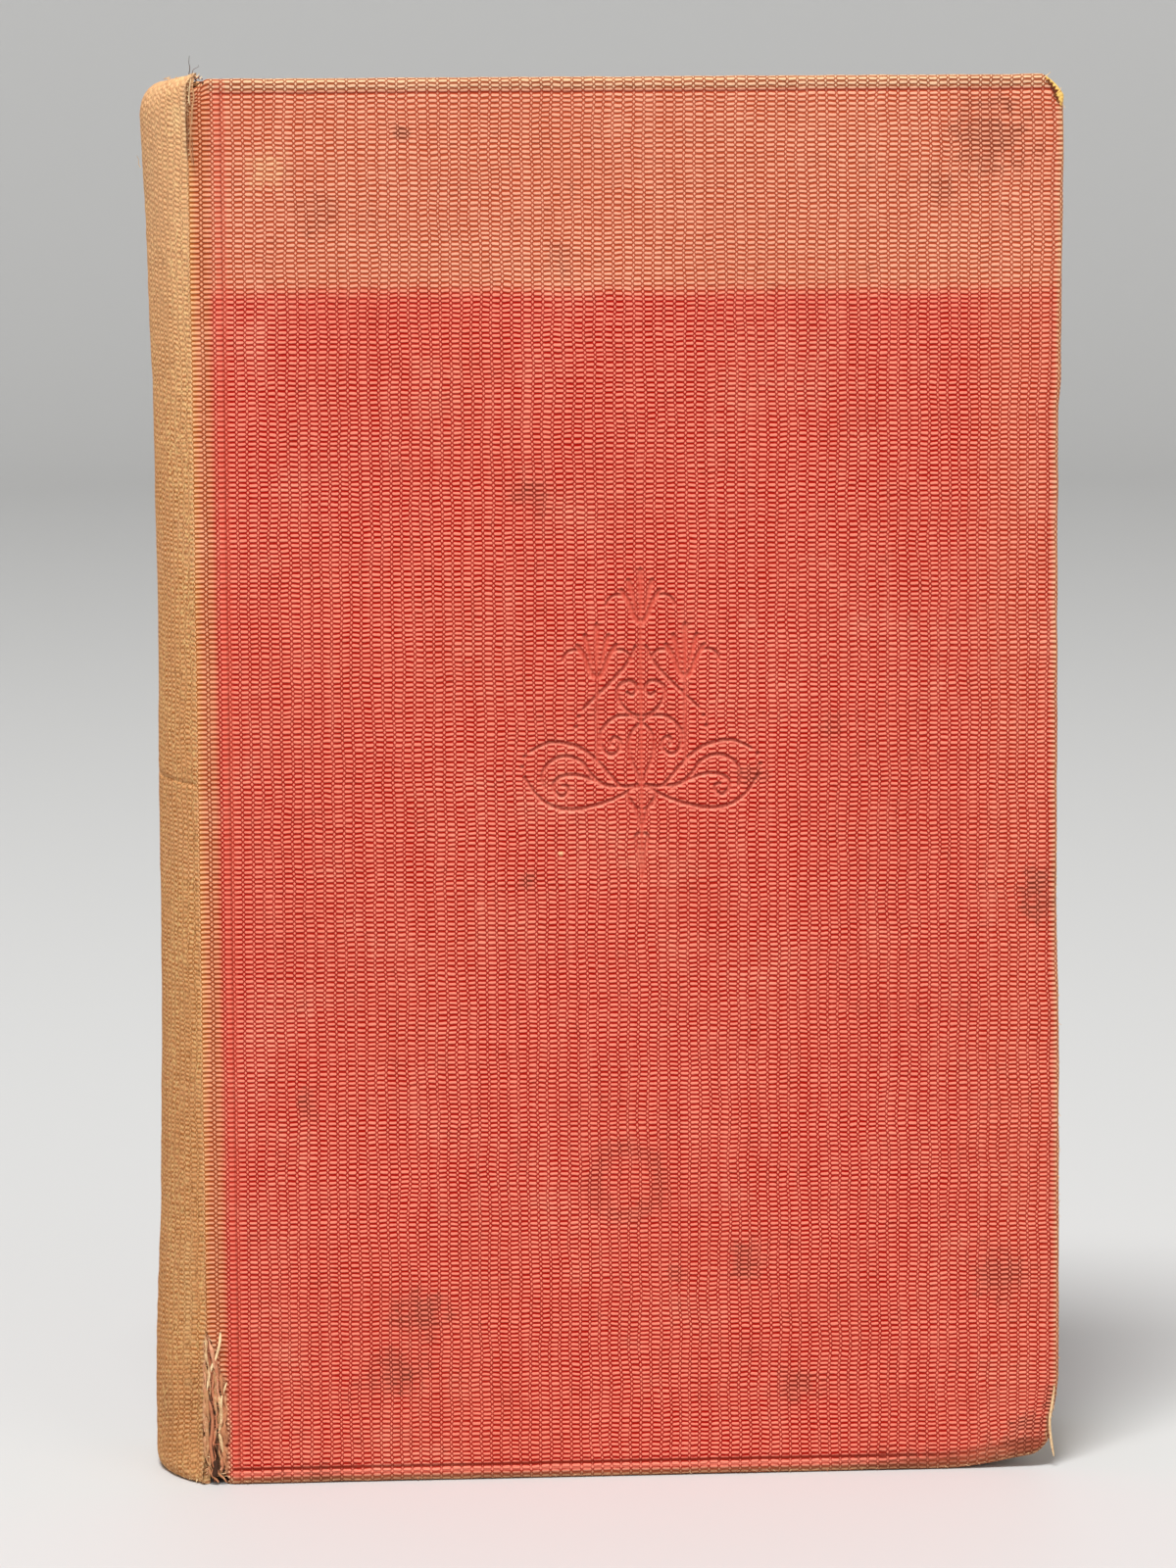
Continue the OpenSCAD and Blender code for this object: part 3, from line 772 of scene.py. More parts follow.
    def add_patch(self, draft: MeshDraft, border: Array) -> None:
        """Fills the gap in the coarse face with a fine grid, joined to it by many-sided faces along its four edges.

        Args:
            draft: Mesh that gets it.
            border: Index numbers of the coarse points over the gap.
        """
        fine, inset, cells = self.patch_fine, self.patch_inset, self.patch_cells
        x = np.linspace(self.patch_x[0] + inset, self.patch_x[1] - inset, cells[0] * fine + 1)
        z = np.linspace(self.patch_z[0] + inset, self.patch_z[1] - inset, cells[1] * fine + 1)
        points, marks = self.face(*np.meshgrid(x, z, indexing="ij"))
        index = draft.add_grid(points, marks)
        sides = (
            (border[:, 0], index[:, 0], False), (border[:, -1], index[:, -1], True),
            (border[0, :], index[0, :], True), (border[-1, :], index[-1, :], False),
        )
        for coarse, dense, swap in sides:
            inner = np.stack([dense[i : len(dense) - fine + i : fine] for i in range(fine + 1)], axis=1)
            row = np.concatenate([coarse[:-1, None], coarse[1:, None], inner[:, ::-1]], axis=1)
            draft.faces.append(row[:, ::-1] if swap else row)


@dataclass
class SpineCloth:
    """Cloth over the rounded back, from one shoulder to the other, with its two caps and what is turned in."""

    lean: float = 3.8
    rise: float = 4.6
    tail_lean: float = 1.1
    tail_rise: float = 2.0
    side_lean: float = 0.9
    fold: float = 1.35
    turn_in: float = 13.0
    flare: float = 0.9
    card_flare: float = 0.5
    over_card: float = 0.42
    nick_z: float = 96.5
    columns: int = 150
    half_angle: float = math.asin(BOOK.ridge_y / BOOK.back_r)

    def radius(self, z: Array, u: Array) -> Array:
        """Distance from the back's axis: hollowed half way up, swollen towards the tail, and creased at the nick.

        The cloth never dips below the card strip that lies under it.

        Args:
            z: Heights.
            u: Places round the back's arc, from -1 at the front shoulder to 1 at the back one.

        Returns:
            Distances in millimetres.
        """
        share = (z - BOOK.middle) / BOOK.middle
        base = BOOK.back_r - self.flare * (1 - np.clip(share, -1, 1) ** 2) * (1 - 0.75 * np.abs(u) ** 3)
        swell = read_table(BACK_SWELLS, z) * (1 - u**4)
        front = smooth_step(0.1, -0.3, u) * smooth_step(-1.02, -0.9, u)
        nick = np.exp(-(((z - self.nick_z - 0.5 * u) / 0.28) ** 2)) * front
        uneven = 0.07 * ripple(40 * u, z, 26.0, 21) + 0.035 * ripple(40 * u, z * 2.5, 7.0, 22)
        card = BOOK.back_r - self.card_flare * (1 - np.clip(share, -1, 1) ** 2) - self.over_card
        worn = base + swell + uneven * (1 - u**4)
        clear = 0.5 * (worn + card + np.sqrt((worn - card) ** 2 + 0.004))
        return np.where(np.abs(u) < 0.97, clear, worn) - 0.25 * nick

    def loop(self) -> Array:
        """The shell's closed section: tail cap, wall, head cap, turn-in, inside, turn-in.

        Returns:
            Rows of inset and height.
        """
        high = BOOK.height
        quarter = np.linspace(0.0, math.pi / 2, 8)
        wall = spans((self.tail_rise, 30.0, 0.7), (30.0, self.nick_z - 3, 2.5), (self.nick_z - 3, self.nick_z + 3, 0.2),
                     (self.nick_z + 3, 160.0, 2.5), (160.0, high - self.rise, 0.7))
        inner = spans((self.turn_in, high - self.turn_in, 9.0))
        tail = [(self.tail_lean * (1 - math.sin(t)), self.tail_rise * (1 - math.cos(t))) for t in quarter]
        head = [(self.lean * (1 - math.sin(t)), high - self.rise * (1 - math.cos(t))) for t in quarter[::-1]]
        lean, rise = self.lean - self.fold, self.rise - self.fold
        head_in = [(self.fold + lean * (1 - math.sin(t)), high - self.fold - rise * (1 - math.cos(t))) for t in quarter]
        tail_in = [(self.fold + 0.3 * (1 - math.sin(t)), 0.5 + 0.8 * (1 - math.cos(t))) for t in quarter[::-1]]
        steps = tail + [(0.0, z) for z in wall[1:-1]] + head + head_in + [(self.fold, high - self.turn_in + 0.1)]
        return np.array(steps + [(0.45, z) for z in inner[::-1]] + [(self.fold, self.turn_in - 0.1)] + tail_in)

    def build(self) -> Piece:
        """Makes the closed shell: its section is a loop of insets and heights, carried round the back's arc.

        Returns:
            The piece.
        """
        across = np.linspace(-1.0, 1.0, self.columns)
        inset, height = self.loop().T
        u = across[:, None]
        flat = 1 - smooth_step(0.55, 1.0, np.abs(u))
        lean = (self.side_lean + (self.lean - self.side_lean) * flat) / self.lean
        end = np.minimum(height, BOOK.height - height)
        capped = end < self.rise + 0.2
        inset_now = np.where(capped, np.minimum(inset, self.fold) + np.maximum(inset - self.fold, 0) * lean, inset)
        near = smooth_step(self.rise + 2.0, self.rise - 0.5, end)
        drop = end * (1 - (1 - lean) * near * 0.85)
        crown = (0.45 * smooth_step(-0.2, -0.85, u) + 0.35 * smooth_step(-0.85, -0.97, u)) * smooth_step(8.0, 0.0, end)
        z = np.where(height < BOOK.middle, drop, BOOK.height - drop + crown)
        angle = u * self.half_angle
        rho = self.radius(z, u) - inset_now
        x = BOOK.back_x - rho * np.cos(angle) - self.slack(u, z)
        y = rho * np.sin(angle)
        torn = smooth_step(22.0, 19.0, z) + smooth_step(BOOK.height - 11.5, BOOK.height - 9.5, z)
        marks = {
            "rub": np.maximum(smooth_step(0.965, 0.99, np.abs(u)) * 0.75, 0.75 * smooth_step(4.0, 0.3, end) + 0 * u),
            "fray": torn * smooth_step(-0.94, -0.985, u),
            "sheet_a": -54.726 - (u + 1) * self.half_angle * BOOK.back_r + 0 * z,
            "sheet_b": z + 0 * u,
            "at_x": BOOK.ridge_x - (u + 1) * self.half_angle * BOOK.back_r + 0 * z,
            "at_z": z + 0 * u,
        }
        draft = MeshDraft()
        draft.add_loops(draft.add_points(np.stack([x, y, z + 0 * u], axis=-1), marks))
        return draft.build("spine_cloth_worn", BookCloth("red_cloth_spine", None))

    def slack(self, u: Array, z: Array) -> Array:
        """How far the torn front edge of the back's cloth leans away from the joint, at head and tail."""
        tail = smooth_step(20.0, 9.0, z) * (0.45 + 0.2 * ripple(z, 0 * z, 5.0, 41))
        head = smooth_step(BOOK.height - 11.5, BOOK.height - 6.0, z) * (0.12 + 0.1 * ripple(z, 0 * z, 4.0, 42))
        return (tail + head) * smooth_step(-0.9, -1.0, u)


@dataclass
class Strip:
    """A thin sheet that runs from tail to head inside a joint: a path in x and height, thickened to one side."""

    name: str
    path: list[tuple[float, float]]
    thick: float
    low: float
    high: float
    step: float
    wave: float = 0.0

    def build(self, side: Side, finish: "Finish") -> Piece:
        """Makes the closed strip on one side of the book.

        Args:
            side: The cover that it belongs to.
            finish: What it looks like.

        Returns:
            The piece.
        """
        line = smooth_curve(self.path, 4)
        along = np.gradient(line, axis=0)
        normal = np.stack([-along[:, 1], along[:, 0]], axis=1) / np.linalg.norm(along, axis=1, keepdims=True)
        z = spans((self.low, self.high, self.step))
        draft = MeshDraft()
        layers = []
        for offset in (0.0, self.thick):
            flat = line + normal * offset
            x, up = np.meshgrid(flat[:, 0], z, indexing="ij")
            out = flat[:, 1][:, None] + self.wave * (ripple(x, up, 4.0, 51) + 0.5 * ripple(x * 2, up, 1.3, 52))
            layers.append(draft.add_points(np.stack([x, side.value * out, up], axis=-1), {"at_x": x, "at_z": up}))
        top, under = layers
        draft.add_cells(top)
        draft.add_cells(under[::-1])
        for a, b in ((top[0], under[0]), (under[-1], top[-1]), (under[:, 0], top[:, 0]), (top[:, -1], under[:, -1])):
            draft.add_cells(np.stack([a, b]))
        return draft.build(f"{side.name.lower()}_{self.name}", finish, flip=side is Side.FRONT)


@dataclass
class WornBoard:
    """The front board, with the same worn outline as its cloth."""

    inset: float = 0.5
    corner: float = 2.6
    bevel: float = 0.15

    def build(self) -> Piece:
        """Makes the board: its outline is carried through its thickness, with flat faces on both sides.

        Returns:
            The piece.
        """
        low_x, high_x = BOOK.board_x0 + 0.1, BOOK.fore_x - self.inset
        low_z, high_z = self.inset, BOOK.height - self.inset
        turn = np.linspace(0.0, math.pi / 2, 9)
        r = self.corner
        tail = [(high_x - r + r * math.sin(t), low_z + r - r * math.cos(t)) for t in turn]
        head = [(high_x - r + r * math.cos(t), high_z - r + r * math.sin(t)) for t in turn]
        edge = [(x, low_z) for x in spans((low_x, high_x - r, 3.0))[:-1]] + tail
        edge += [(high_x, z) for z in spans((low_z + r, high_z - r, 3.0))[1:-1]] + head
        edge += [(x, high_z) for x in spans((low_x, high_x - r, 3.0))[-2::-1]]
        x, z = worn_outline(*np.array(edge).T)
        middle_x, middle_z = (low_x + high_x) / 2, BOOK.middle
        levels = (BOOK.board_in, BOOK.board_in + self.bevel, BOOK.board_out - self.bevel, BOOK.board_out)
        rows = [
            np.stack([x - pull * np.sign(x - middle_x), -out + 0 * x, z - pull * np.sign(z - middle_z)], axis=-1)
            for out, pull in zip(levels, (self.bevel, 0, 0, self.bevel))
        ]
        draft = MeshDraft()
        draft.add_loops(draft.add_points(np.stack(rows)))
        return draft.build("front_board_worn", BOARD, flip=True)


def strands(roots: Array, reach: Array, curl: float, points: int, seed: int) -> Array:
    """Paths of loose threads: root + reach t, bent off by a drawn share of t^2 and of t sin(2 pi t).

    Args:
        roots: Where each thread starts.
        reach: How far and which way it runs.
        curl: Typical size of its bends.
        points: Points of one path.
        seed: Picks the bends.

    Returns:
        Threads by points by three coordinates.
    """
    draw = np.random.default_rng(seed)
    t = np.linspace(0.0, 1.0, points)[None, :, None]
    bend, wave = draw.normal(size=(2, len(roots), 1, 3)) * curl
    return roots[:, None] + reach[:, None] * t + bend * t**2 + 0.5 * wave * t * np.sin(2.0 * math.pi * t)


def columns(*parts: object) -> Array:
    """Points from three lists of coordinates, any of which may be one number."""
    return np.stack(np.broadcast_arrays(*parts), axis=-1).astype(float)


# What hangs in the front joint's splits, and by the bumped tail corner. The rows with a shade of 0.2 or less are dark
# strips of painted shadow, laid along slits, creases and a hole.
JOINT_SLIVERS: Slivers = (
    ([(-53.25, 21.2), (-53.4, 19.6), (-53.9, 17.8), (-54.75, 15.7), (-55.2, 13.2)], 0.19, 0.95, 0.0, 14.9),
    ([(-52.5, 14.3), (-52.9, 13.1), (-53.2, 12.2), (-53.3, 10.4)], 0.12, 0.95, 0.0, 15.05),
    ([(-53.6, 12.4), (-53.3, 9.6), (-53.5, 7.2), (-53.2, 4.6)], 0.26, 0.75, 0.0, 14.95),
    ([(-54.9, 12.0), (-54.5, 8.8), (-54.8, 5.6), (-54.3, 2.0)], 0.24, 0.45, 0.5, 15.0),
    ([(-54.3, 2.4), (-53.7, 1.5), (-53.1, 1.0), (-52.7, 0.3)], 0.13, 0.55, 0.3, 14.95),
    ([(-55.2, 2.6), (-54.7, 1.4), (-54.1, 0.8), (-53.8, 0.3)], 0.15, 0.5, 0.3, 14.9),
    # A dark strip of painted shadow over the hole at the tail.
    ([(-54.4, 3.5), (-54.15, 2.7), (-54.2, 1.9), (-54.4, 1.2)], 0.4, -0.2, 0.0, 14.98),
    ([(-54.62, 190.1), (-54.8, 189.1), (-54.95, 187.3), (-54.8, 186.6)], 0.08, 0.8, 0.0, 15.0),
    ([(-54.5, 189.1), (-54.3, 187.6), (-54.55, 186.2), (-54.6, 184.0)], 0.11, 0.6, 0.1, 14.9),
    ([(-54.9, 185.8), (-54.75, 183.2), (-54.9, 181.0), (-54.6, 178.9)], 0.11, 0.55, 0.3, 14.92),
    # Thin dark strips of painted shadow along the head's slits and creases.
    ([(-55.2, 185.7), (-55.1, 184.0), (-55.2, 182.0)], 0.05, 0.2, 0.2, 15.0),
    ([(-54.6, 182.2), (-54.55, 180.4), (-54.4, 178.6)], 0.05, 0.2, 0.2, 14.98),
    ([(-55.0, 189.4), (-54.8, 188.0), (-54.65, 185.9)], 0.06, 0.2, 0.2, 14.94),
    # Dark strips of painted shadow along the tail split's slits.
    ([(-55.0, 13.0), (-54.6, 10.2), (-54.9, 7.4), (-54.2, 3.4)], 0.12, 0.0, 0.0, 15.02),
    ([(-54.2, 10.8), (-53.9, 7.8), (-54.0, 5.6), (-53.6, 3.0)], 0.1, 0.0, 0.0, 15.05),
)
FORE_SLIVERS: Slivers = (
    ([(60.85, 11.4), (60.65, 9.7), (60.38, 8.0), (60.2, 6.65), (60.24, 5.05), (60.45, 3.5), (60.8, 1.5)],
     0.19, 0.8, 0.05, 15.2),
    ([(60.05, 7.6), (59.9, 6.2), (60.0, 4.9), (60.2, 3.9)], 0.13, 0.15, 0.2, 15.16),
)


@dataclass
class TornJoint:
    """What the front joint's two splits lay bare: crumpled ribbons of cloth, stretched threads and loose ends."""

    cloth: CoverCloth
    ribbons: int = 15
    bridges: int = 18
    level: float = 14.75
    seed: int = 29

    def gap(self, z: Array) -> tuple[Array, Array]:
        """Left and right side of the split at each height."""
        return BOOK.ridge_x - 0.35 + 0 * z, BOOK.ridge_x + self.cloth.split(z) + 0.15

    def bands(self) -> Piece:
        """Makes the ribbons that bridge the splits: each keeps its share of the gap's width and wavers about it.

        Returns:
            The piece.
        """
        draw = np.random.default_rng(self.seed)
        steps = np.linspace(0.0, 1.0, 40)
        share = np.linspace(0.0, 0.97, self.ribbons)
        low, high = draw.uniform(0.3, 2.5, self.ribbons), draw.uniform(14.0, 21.2, self.ribbons)
        low[::4] += draw.uniform(2.0, 6.0, len(low[::4]))
        z = low[:, None] + (high - low)[:, None] * steps
        left, right = self.gap(z)
        turn = draw.uniform(0.0, 40.0, self.ribbons)[:, None]
        x = left + (right - left) * np.clip(share[:, None] + 0.09 * ripple(z, turn, 5.0, 61), 0.0, 1.0)
        y = -(self.level + 0.2 * ripple(z, turn + 90, 3.4, 62) + 0.12 * draw.normal(size=(self.ribbons, 1)))
        wide = draw.uniform(0.2, 0.42, self.ribbons)[:, None] * (0.65 + 0.35 * ripple(z, turn, 2.2, 63)).clip(0.2)
        taper = np.sqrt(np.clip(np.minimum(steps, 1 - steps) * 9, 0.05, 1.0))
        draft = MeshDraft()
        marks = {"shade": draw.uniform(0.38, 0.8, self.ribbons), "pink": draw.uniform(0.0, 0.75, self.ribbons) ** 1.3}
        tubes(draft, np.stack([x, y, z], axis=-1), wide * taper, 6, marks, 0.55)
        self.slivers(draft, JOINT_SLIVERS)
        count = self.bridges
        height = draw.uniform(5.0, 17.5, count)
        left, right = self.gap(height)
        roots = columns(left, -self.level - 0.1, height)
        across = (right - left) * draw.uniform(0.5, 1.0, count)
        reach = columns(across, draw.normal(size=count) * 0.1, draw.normal(size=count) * 0.7)
        marks = {"shade": draw.uniform(0.3, 0.8, count), "pink": draw.uniform(0.5, 1.0, count)}
        tubes(draft, strands(roots, reach, 0.25, 7, 64), np.full((count, 7), 0.05), 4, marks)
        return draft.build("front_torn_bands", FRAY)

    def slivers(self, draft: MeshDraft, rows: Slivers) -> None:
        """Adds torn strips, and dark strips of painted shadow, along chosen curves, thinned by the root of the share
        that lies between here and an end.
        """
        for points, radius, shade, pink, out in rows:
            flat = smooth_curve(points, 8)
            path = columns(flat[:, 0], -out + 0.08 * ripple(flat[:, 1], 0 * flat[:, 1], 2.0, 66), flat[:, 1])
            run = np.linspace(0.0, 1.0, len(path))
            ends = np.sqrt(np.clip(np.minimum(run, 1 - run) * 7, 0.06, 1.0))
            marks = {"shade": np.array([shade]), "pink": np.array([pink])}
            tubes(draft, path[None], (radius * ends)[None], 6, marks, 0.7)

    def fringe(self, name: str, groups: Fringe, rows: Slivers = ()) -> Piece:
        """Makes one piece of short loose threads.

        Args:
            name: Name of the piece.
            groups: Roots, reaches, radius, shade and redness of each kind of thread.
            rows: Torn strips that belong to it.

        Returns:
            The piece.
        """
        draw = np.random.default_rng(self.seed + 1)
        draft = MeshDraft()
        for number, (roots, reach, radius, shade, pink) in enumerate(groups):
            count = len(roots)
            paths = strands(roots, reach, 0.22 * float(np.linalg.norm(reach, axis=1).mean()), 6, 70 + number)
            radii = radius * draw.uniform(0.7, 1.3, (count, 1)) * np.linspace(1.0, 0.45, 6)
            marks = {
                "shade": np.clip(shade + 0.15 * draw.normal(size=count), 0, 1),
                "pink": np.clip(pink + 0.2 * draw.normal(size=count), 0, 1),
            }
            tubes(draft, paths, radii, 4, marks)
        self.slivers(draft, rows)
        return draft.build(name, FRAY)

    def cover_threads(self) -> Piece:
        """Loose ends along the cover's torn edge and its worn head, tail and fore edge.

        Returns:
            The piece.
        """
        draw = np.random.default_rng(self.seed + 2)
        pick = draw.uniform

        def edge(x: Array, z: Array, out: float) -> Array:
            """Points on the cover's worn outline."""
            moved_x, moved_z = worn_outline(x, z)
            return columns(moved_x, -out, moved_z)

        split_z = pick(0.8, 20.5, 34)
        split = edge(BOOK.ridge_x + self.cloth.split(split_z) + 0.1, split_z, 14.75)
        tail = edge(pick(-51.5, 60.0, 120), np.full(120, 0.5), 14.95)
        fore = edge(np.full(70, 61.1), pick(2.0, 90.0, 70), 14.75)
        head = edge(pick(-52.0, 59.0, 60), np.full(60, 189.75), 14.8)
        corner = edge(np.array([58.6, 60.9, 60.6]), np.array([189.5, 186.2, 187.6]), 15.1)
        low = edge(np.array([60.5, 60.7, 60.3, 60.6]), np.array([11.2, 8.6, 6.0, 3.4]), 15.15)
        return self.fringe("front_cover_threads", [
            (split, columns(-pick(0.2, 1.1, 34), -pick(0.0, 0.3, 34), draw.normal(size=34) * 0.4), 0.05, 0.75, 0.25),
            (tail, columns(draw.normal(size=120) * 0.25, -pick(0.1, 0.3, 120), -pick(0.05, 0.32, 120)),
             0.04, 0.7, 0.45),
            (fore, columns(pick(0.05, 0.3, 70), -pick(0.0, 0.25, 70), draw.normal(size=70) * 0.3), 0.04, 0.8, 0.2),
            (head, columns(draw.normal(size=60) * 0.2, -pick(0.0, 0.2, 60), pick(0.05, 0.25, 60)), 0.04, 0.8, 0.15),
            (corner, np.array([[0.8, -0.2, 0.6], [0.5, -0.2, -0.7], [0.3, -0.3, 0.6]]), 0.06, 1.0, 0.0),
            (low, np.array([[0.2, -0.1, -1.4], [0.1, -0.1, -1.2], [0.3, -0.1, -1.0], [0.2, -0.1, -0.9]]),
             0.06, 0.8, 0.2),
        ], FORE_SLIVERS)

    def back_threads(self) -> Piece:
        """Loose ends on the back's side: along its torn edge, at its caps, and the wisp of band thread at the head.

        Returns:
            The piece.
        """
        draw = np.random.default_rng(self.seed + 3)
        pick = draw.uniform
        torn = columns(BOOK.ridge_x - 0.3, -14.75, pick(0.8, 20.5, 30))
        top = columns(BOOK.ridge_x + 0.1, -14.7, pick(179.5, 189.8, 18))
        turn = pick(-0.76, -0.35, 26)
        cap = columns(BOOK.back_x - 21.6 * np.cos(turn), 21.6 * np.sin(turn), 0.55)
        rim = columns(BOOK.back_x - 19.6 * np.cos(turn), 19.6 * np.sin(turn), 190.1)
        clump = columns(pick(-54.2, -53.0, 12), pick(-14.4, -13.6, 12), pick(189.3, 190.2, 12))
        return self.fringe("back_loose_threads", [
            (torn, columns(pick(0.1, 0.9, 30), -pick(0.0, 0.3, 30), draw.normal(size=30) * 0.4), 0.05, 0.8, 0.1),
            (top, columns(pick(0.05, 0.5, 18), -pick(0.05, 0.3, 18), draw.normal(size=18) * 0.3), 0.05, 0.85, 0.0),
            (cap, columns(-pick(0.0, 0.3, 26), -pick(0.1, 0.4, 26), -pick(0.05, 0.35, 26)), 0.05, 0.8, 0.0),
            (rim, columns(pick(-0.2, 0.3, 26), -pick(0.0, 0.3, 26), pick(0.05, 0.35, 26)), 0.05, 0.85, 0.0),
            (clump, draw.normal(size=(12, 3)) * [0.35, 0.15, 0.2], 0.1, 0.05, 0.0),
            (np.array([[-53.9, -14.5, 190.2], [-53.5, -14.5, 190.0]]), np.array([[0.5, -0.1, 0.5], [0.3, -0.1, 0.3]]),
             0.1, 1.2, 0.0),
            (np.array([[-54.9, -14.0, 190.6], [-54.5, -14.0, 190.5]]), np.array([[0.35, -0.2, 2.0], [0.6, -0.2, 2.1]]),
             0.05, -0.4, 0.0),
            (np.array([[-61.7, -2.0, 178.4]]), np.array([[-0.6, -0.3, 0.9]]), 0.07, 1.0, 0.0),
        ])


@dataclass
class BareCorner:
    """The head's fore corner, worn through to the board: a band round the corner's arc, with a ragged inner edge and a
    painted shadow along it.
    """

    radius: float = 3.0
    turns: tuple[float, float] = (-26.0, 80.0)
    stations: int = 44
    skirt: float = 13.6

    def build(self) -> Piece:
        """Makes the closed band: its section of insets and heights is carried round the arc and drawn in at its ends.

        Returns:
            The piece.
        """
        section = np.array([
            (1.0, 15.1), (0.85, 15.24), (0.5, 15.27), (0.2, 15.12), (-0.02, 14.7), (-0.06, 14.2), (-0.06, 13.0),
            (0.0, 12.4), (0.3, 12.0), (0.5, 12.4), (0.45, 14.4), (0.8, 14.9),
        ])
        turn = np.radians(np.linspace(*self.turns, self.stations))
        share = np.sin(np.linspace(0.0, math.pi, self.stations)) ** 0.45
        ragged = 1 + 0.3 * ripple(turn * 3.0, 0 * turn, 0.9, 81)
        inset = section[:, 0] * np.where(section[:, 0] > 0.1, (share * ragged)[:, None], 1.0)
        reach = self.radius - inset
        middle_x, middle_z = WORN.head_corner
        x, z = worn_outline(middle_x + reach * np.cos(turn)[:, None], middle_z + reach * np.sin(turn)[:, None])
        out = section[:, 1] + 0.07 * ripple(x * 3, z * 3, 1.5, 82)
        out = self.skirt + (out - self.skirt) * (0.9 + 0.1 * share[:, None])
        draft = MeshDraft()
        index = draft.add_points(np.stack([x, -out, z], axis=-1), {"shade": 0.9 + 0 * x, "pink": 0 * x})
        draft.add_loops(index, inward=True)
        # A dark tube along the inner edge: painted shadow of the cloth's torn edge.
        path = columns(x[:, 0] - 0.1, -15.14, z[:, 0] - 0.1)[3:-3]
        marks = {"shade": np.array([0.05]), "pink": np.array([0.2])}
        tubes(draft, path[None], np.full((1, len(path)), 0.13), 5, marks, 0.7)
        return draft.build("front_bare_corner", BARE_BOARD)


# ---- colours and finishes


def tone(red: float, green: float, blue: float) -> Colour:
    """A colour seen on screen, 0 to 255 in each part, as the linear value that a shader takes."""
    parts = [v / 255.0 for v in (red, green, blue)]
    linear = [v / 12.92 if v <= 0.04045 else ((v + 0.055) / 1.055) ** 2.4 for v in parts]
    return (*linear, 1.0)


class Nodes:
    """Short way to write a node tree: each method adds a node and returns the socket that it puts out."""

    def __init__(self, tree: bpy.types.NodeTree) -> None:
        """Keeps the tree that the nodes go into."""
        self.tree = tree

    def put(self, socket: Socket, value: object) -> None:
        """Links a socket, or sets it if the value is plain."""
        if isinstance(value, Socket):
            self.tree.links.new(value, socket)
        elif value is not None:
            socket.default_value = value

    def node(self, kind: str, inputs: dict[str | int, object] | None = None, **settings: object) -> bpy.types.Node:
        """Adds a node, with its settings and its inputs by name or number."""
        made = self.tree.nodes.new(kind)
        for key, value in settings.items():
            setattr(made, key, value)
        for key, value in (inputs or {}).items():
            self.put(made.inputs[key], value)
        return made

    def math(self, operation: str, *values: object, clamp: bool = False) -> Socket:
        """One arithmetic step."""
        inputs = dict(enumerate(values))
        return self.node("ShaderNodeMath", inputs, operation=operation, use_clamp=clamp).outputs[0]

    def times(self, *values: object, clamp: bool = False) -> Socket:
        """The first value times the second."""
        return self.math("MULTIPLY", *values, clamp=clamp)

    def scaled(self, *values: object, clamp: bool = False) -> Socket:
        """The first value times the second, plus the third."""
        return self.math("MULTIPLY_ADD", *values, clamp=clamp)

    def plus(self, *values: object, clamp: bool = False) -> Socket:
        """The first value plus the second."""
        return self.math("ADD", *values, clamp=clamp)

    def minus(self, *values: object) -> Socket:
        """The first value minus the second."""
        return self.math("SUBTRACT", *values)

    def most(self, *values: object) -> Socket:
        """The larger of two values."""
        return self.math("MAXIMUM", *values)

    def off_middle(self, value: object) -> Socket:
        """How far the value's fraction lies from one half."""
        return self.math("ABSOLUTE", self.minus(self.math("FRACT", value), 0.5))

    def ramp(self, value: object, low: float, high: float, to_low: float = 0.0, to_high: float = 1.0) -> Socket:
        """A smooth rise from low to high, clamped at both ends."""
        inputs = {"Value": value, "From Min": low, "From Max": high, "To Min": to_low, "To Max": to_high}
        return self.node("ShaderNodeMapRange", inputs, interpolation_type="SMOOTHSTEP").outputs[0]

    def mix(self, share: object, low: object, high: object) -> Socket:
        """Mixes two colours."""
        return self.node("ShaderNodeMix", {0: share, 6: low, 7: high}, data_type="RGBA").outputs[2]

    def noise(self, place: object, scale: float, detail: float = 2.0, rough: float = 0.5) -> Socket:
        """Grey noise, around 0.5."""
        inputs = {"Vector": place, "Scale": scale, "Detail": detail, "Roughness": rough}
        return self.node("ShaderNodeTexNoise", inputs).outputs["Fac"]

    def streaks(
        self, x: object, z: object, tight_x: float, tight_z: float,
        detail: float = 3.0, rough: float = 0.6, layer: object = 0.0,
    ) -> Socket:
        """Grey noise that is drawn out along one axis, because its two coordinates are scaled apart.

        Args:
            x: First coordinate.
            z: Second coordinate.
            tight_x: How often it changes along the first one.
            tight_z: How often it changes along the second one.
            detail: How many finer layers it has.
            rough: How much they weigh.
            layer: Third coordinate, which picks another pattern.

        Returns:
            Noise around 0.5.
        """
        return self.noise(self.vector(self.times(x, tight_x), self.times(z, tight_z), layer), 1.0, detail, rough)

    def mark(self, name: str) -> Socket:
        """Value that the mesh carries under a name."""
        return self.node("ShaderNodeAttribute", attribute_name=name).outputs["Fac"]

    def place(self) -> Socket:
        """Object coordinates, in metres."""
        return self.node("ShaderNodeTexCoord").outputs["Object"]

    def axes(self, vector: Socket) -> list[Socket]:
        """The three coordinates of a vector."""
        return list(self.node("ShaderNodeSeparateXYZ", {0: vector}).outputs)

    def vector(self, x: object, y: object, z: object = 0.0) -> Socket:
        """A vector of three coordinates."""
        return self.node("ShaderNodeCombineXYZ", {0: x, 1: y, 2: z}).outputs[0]


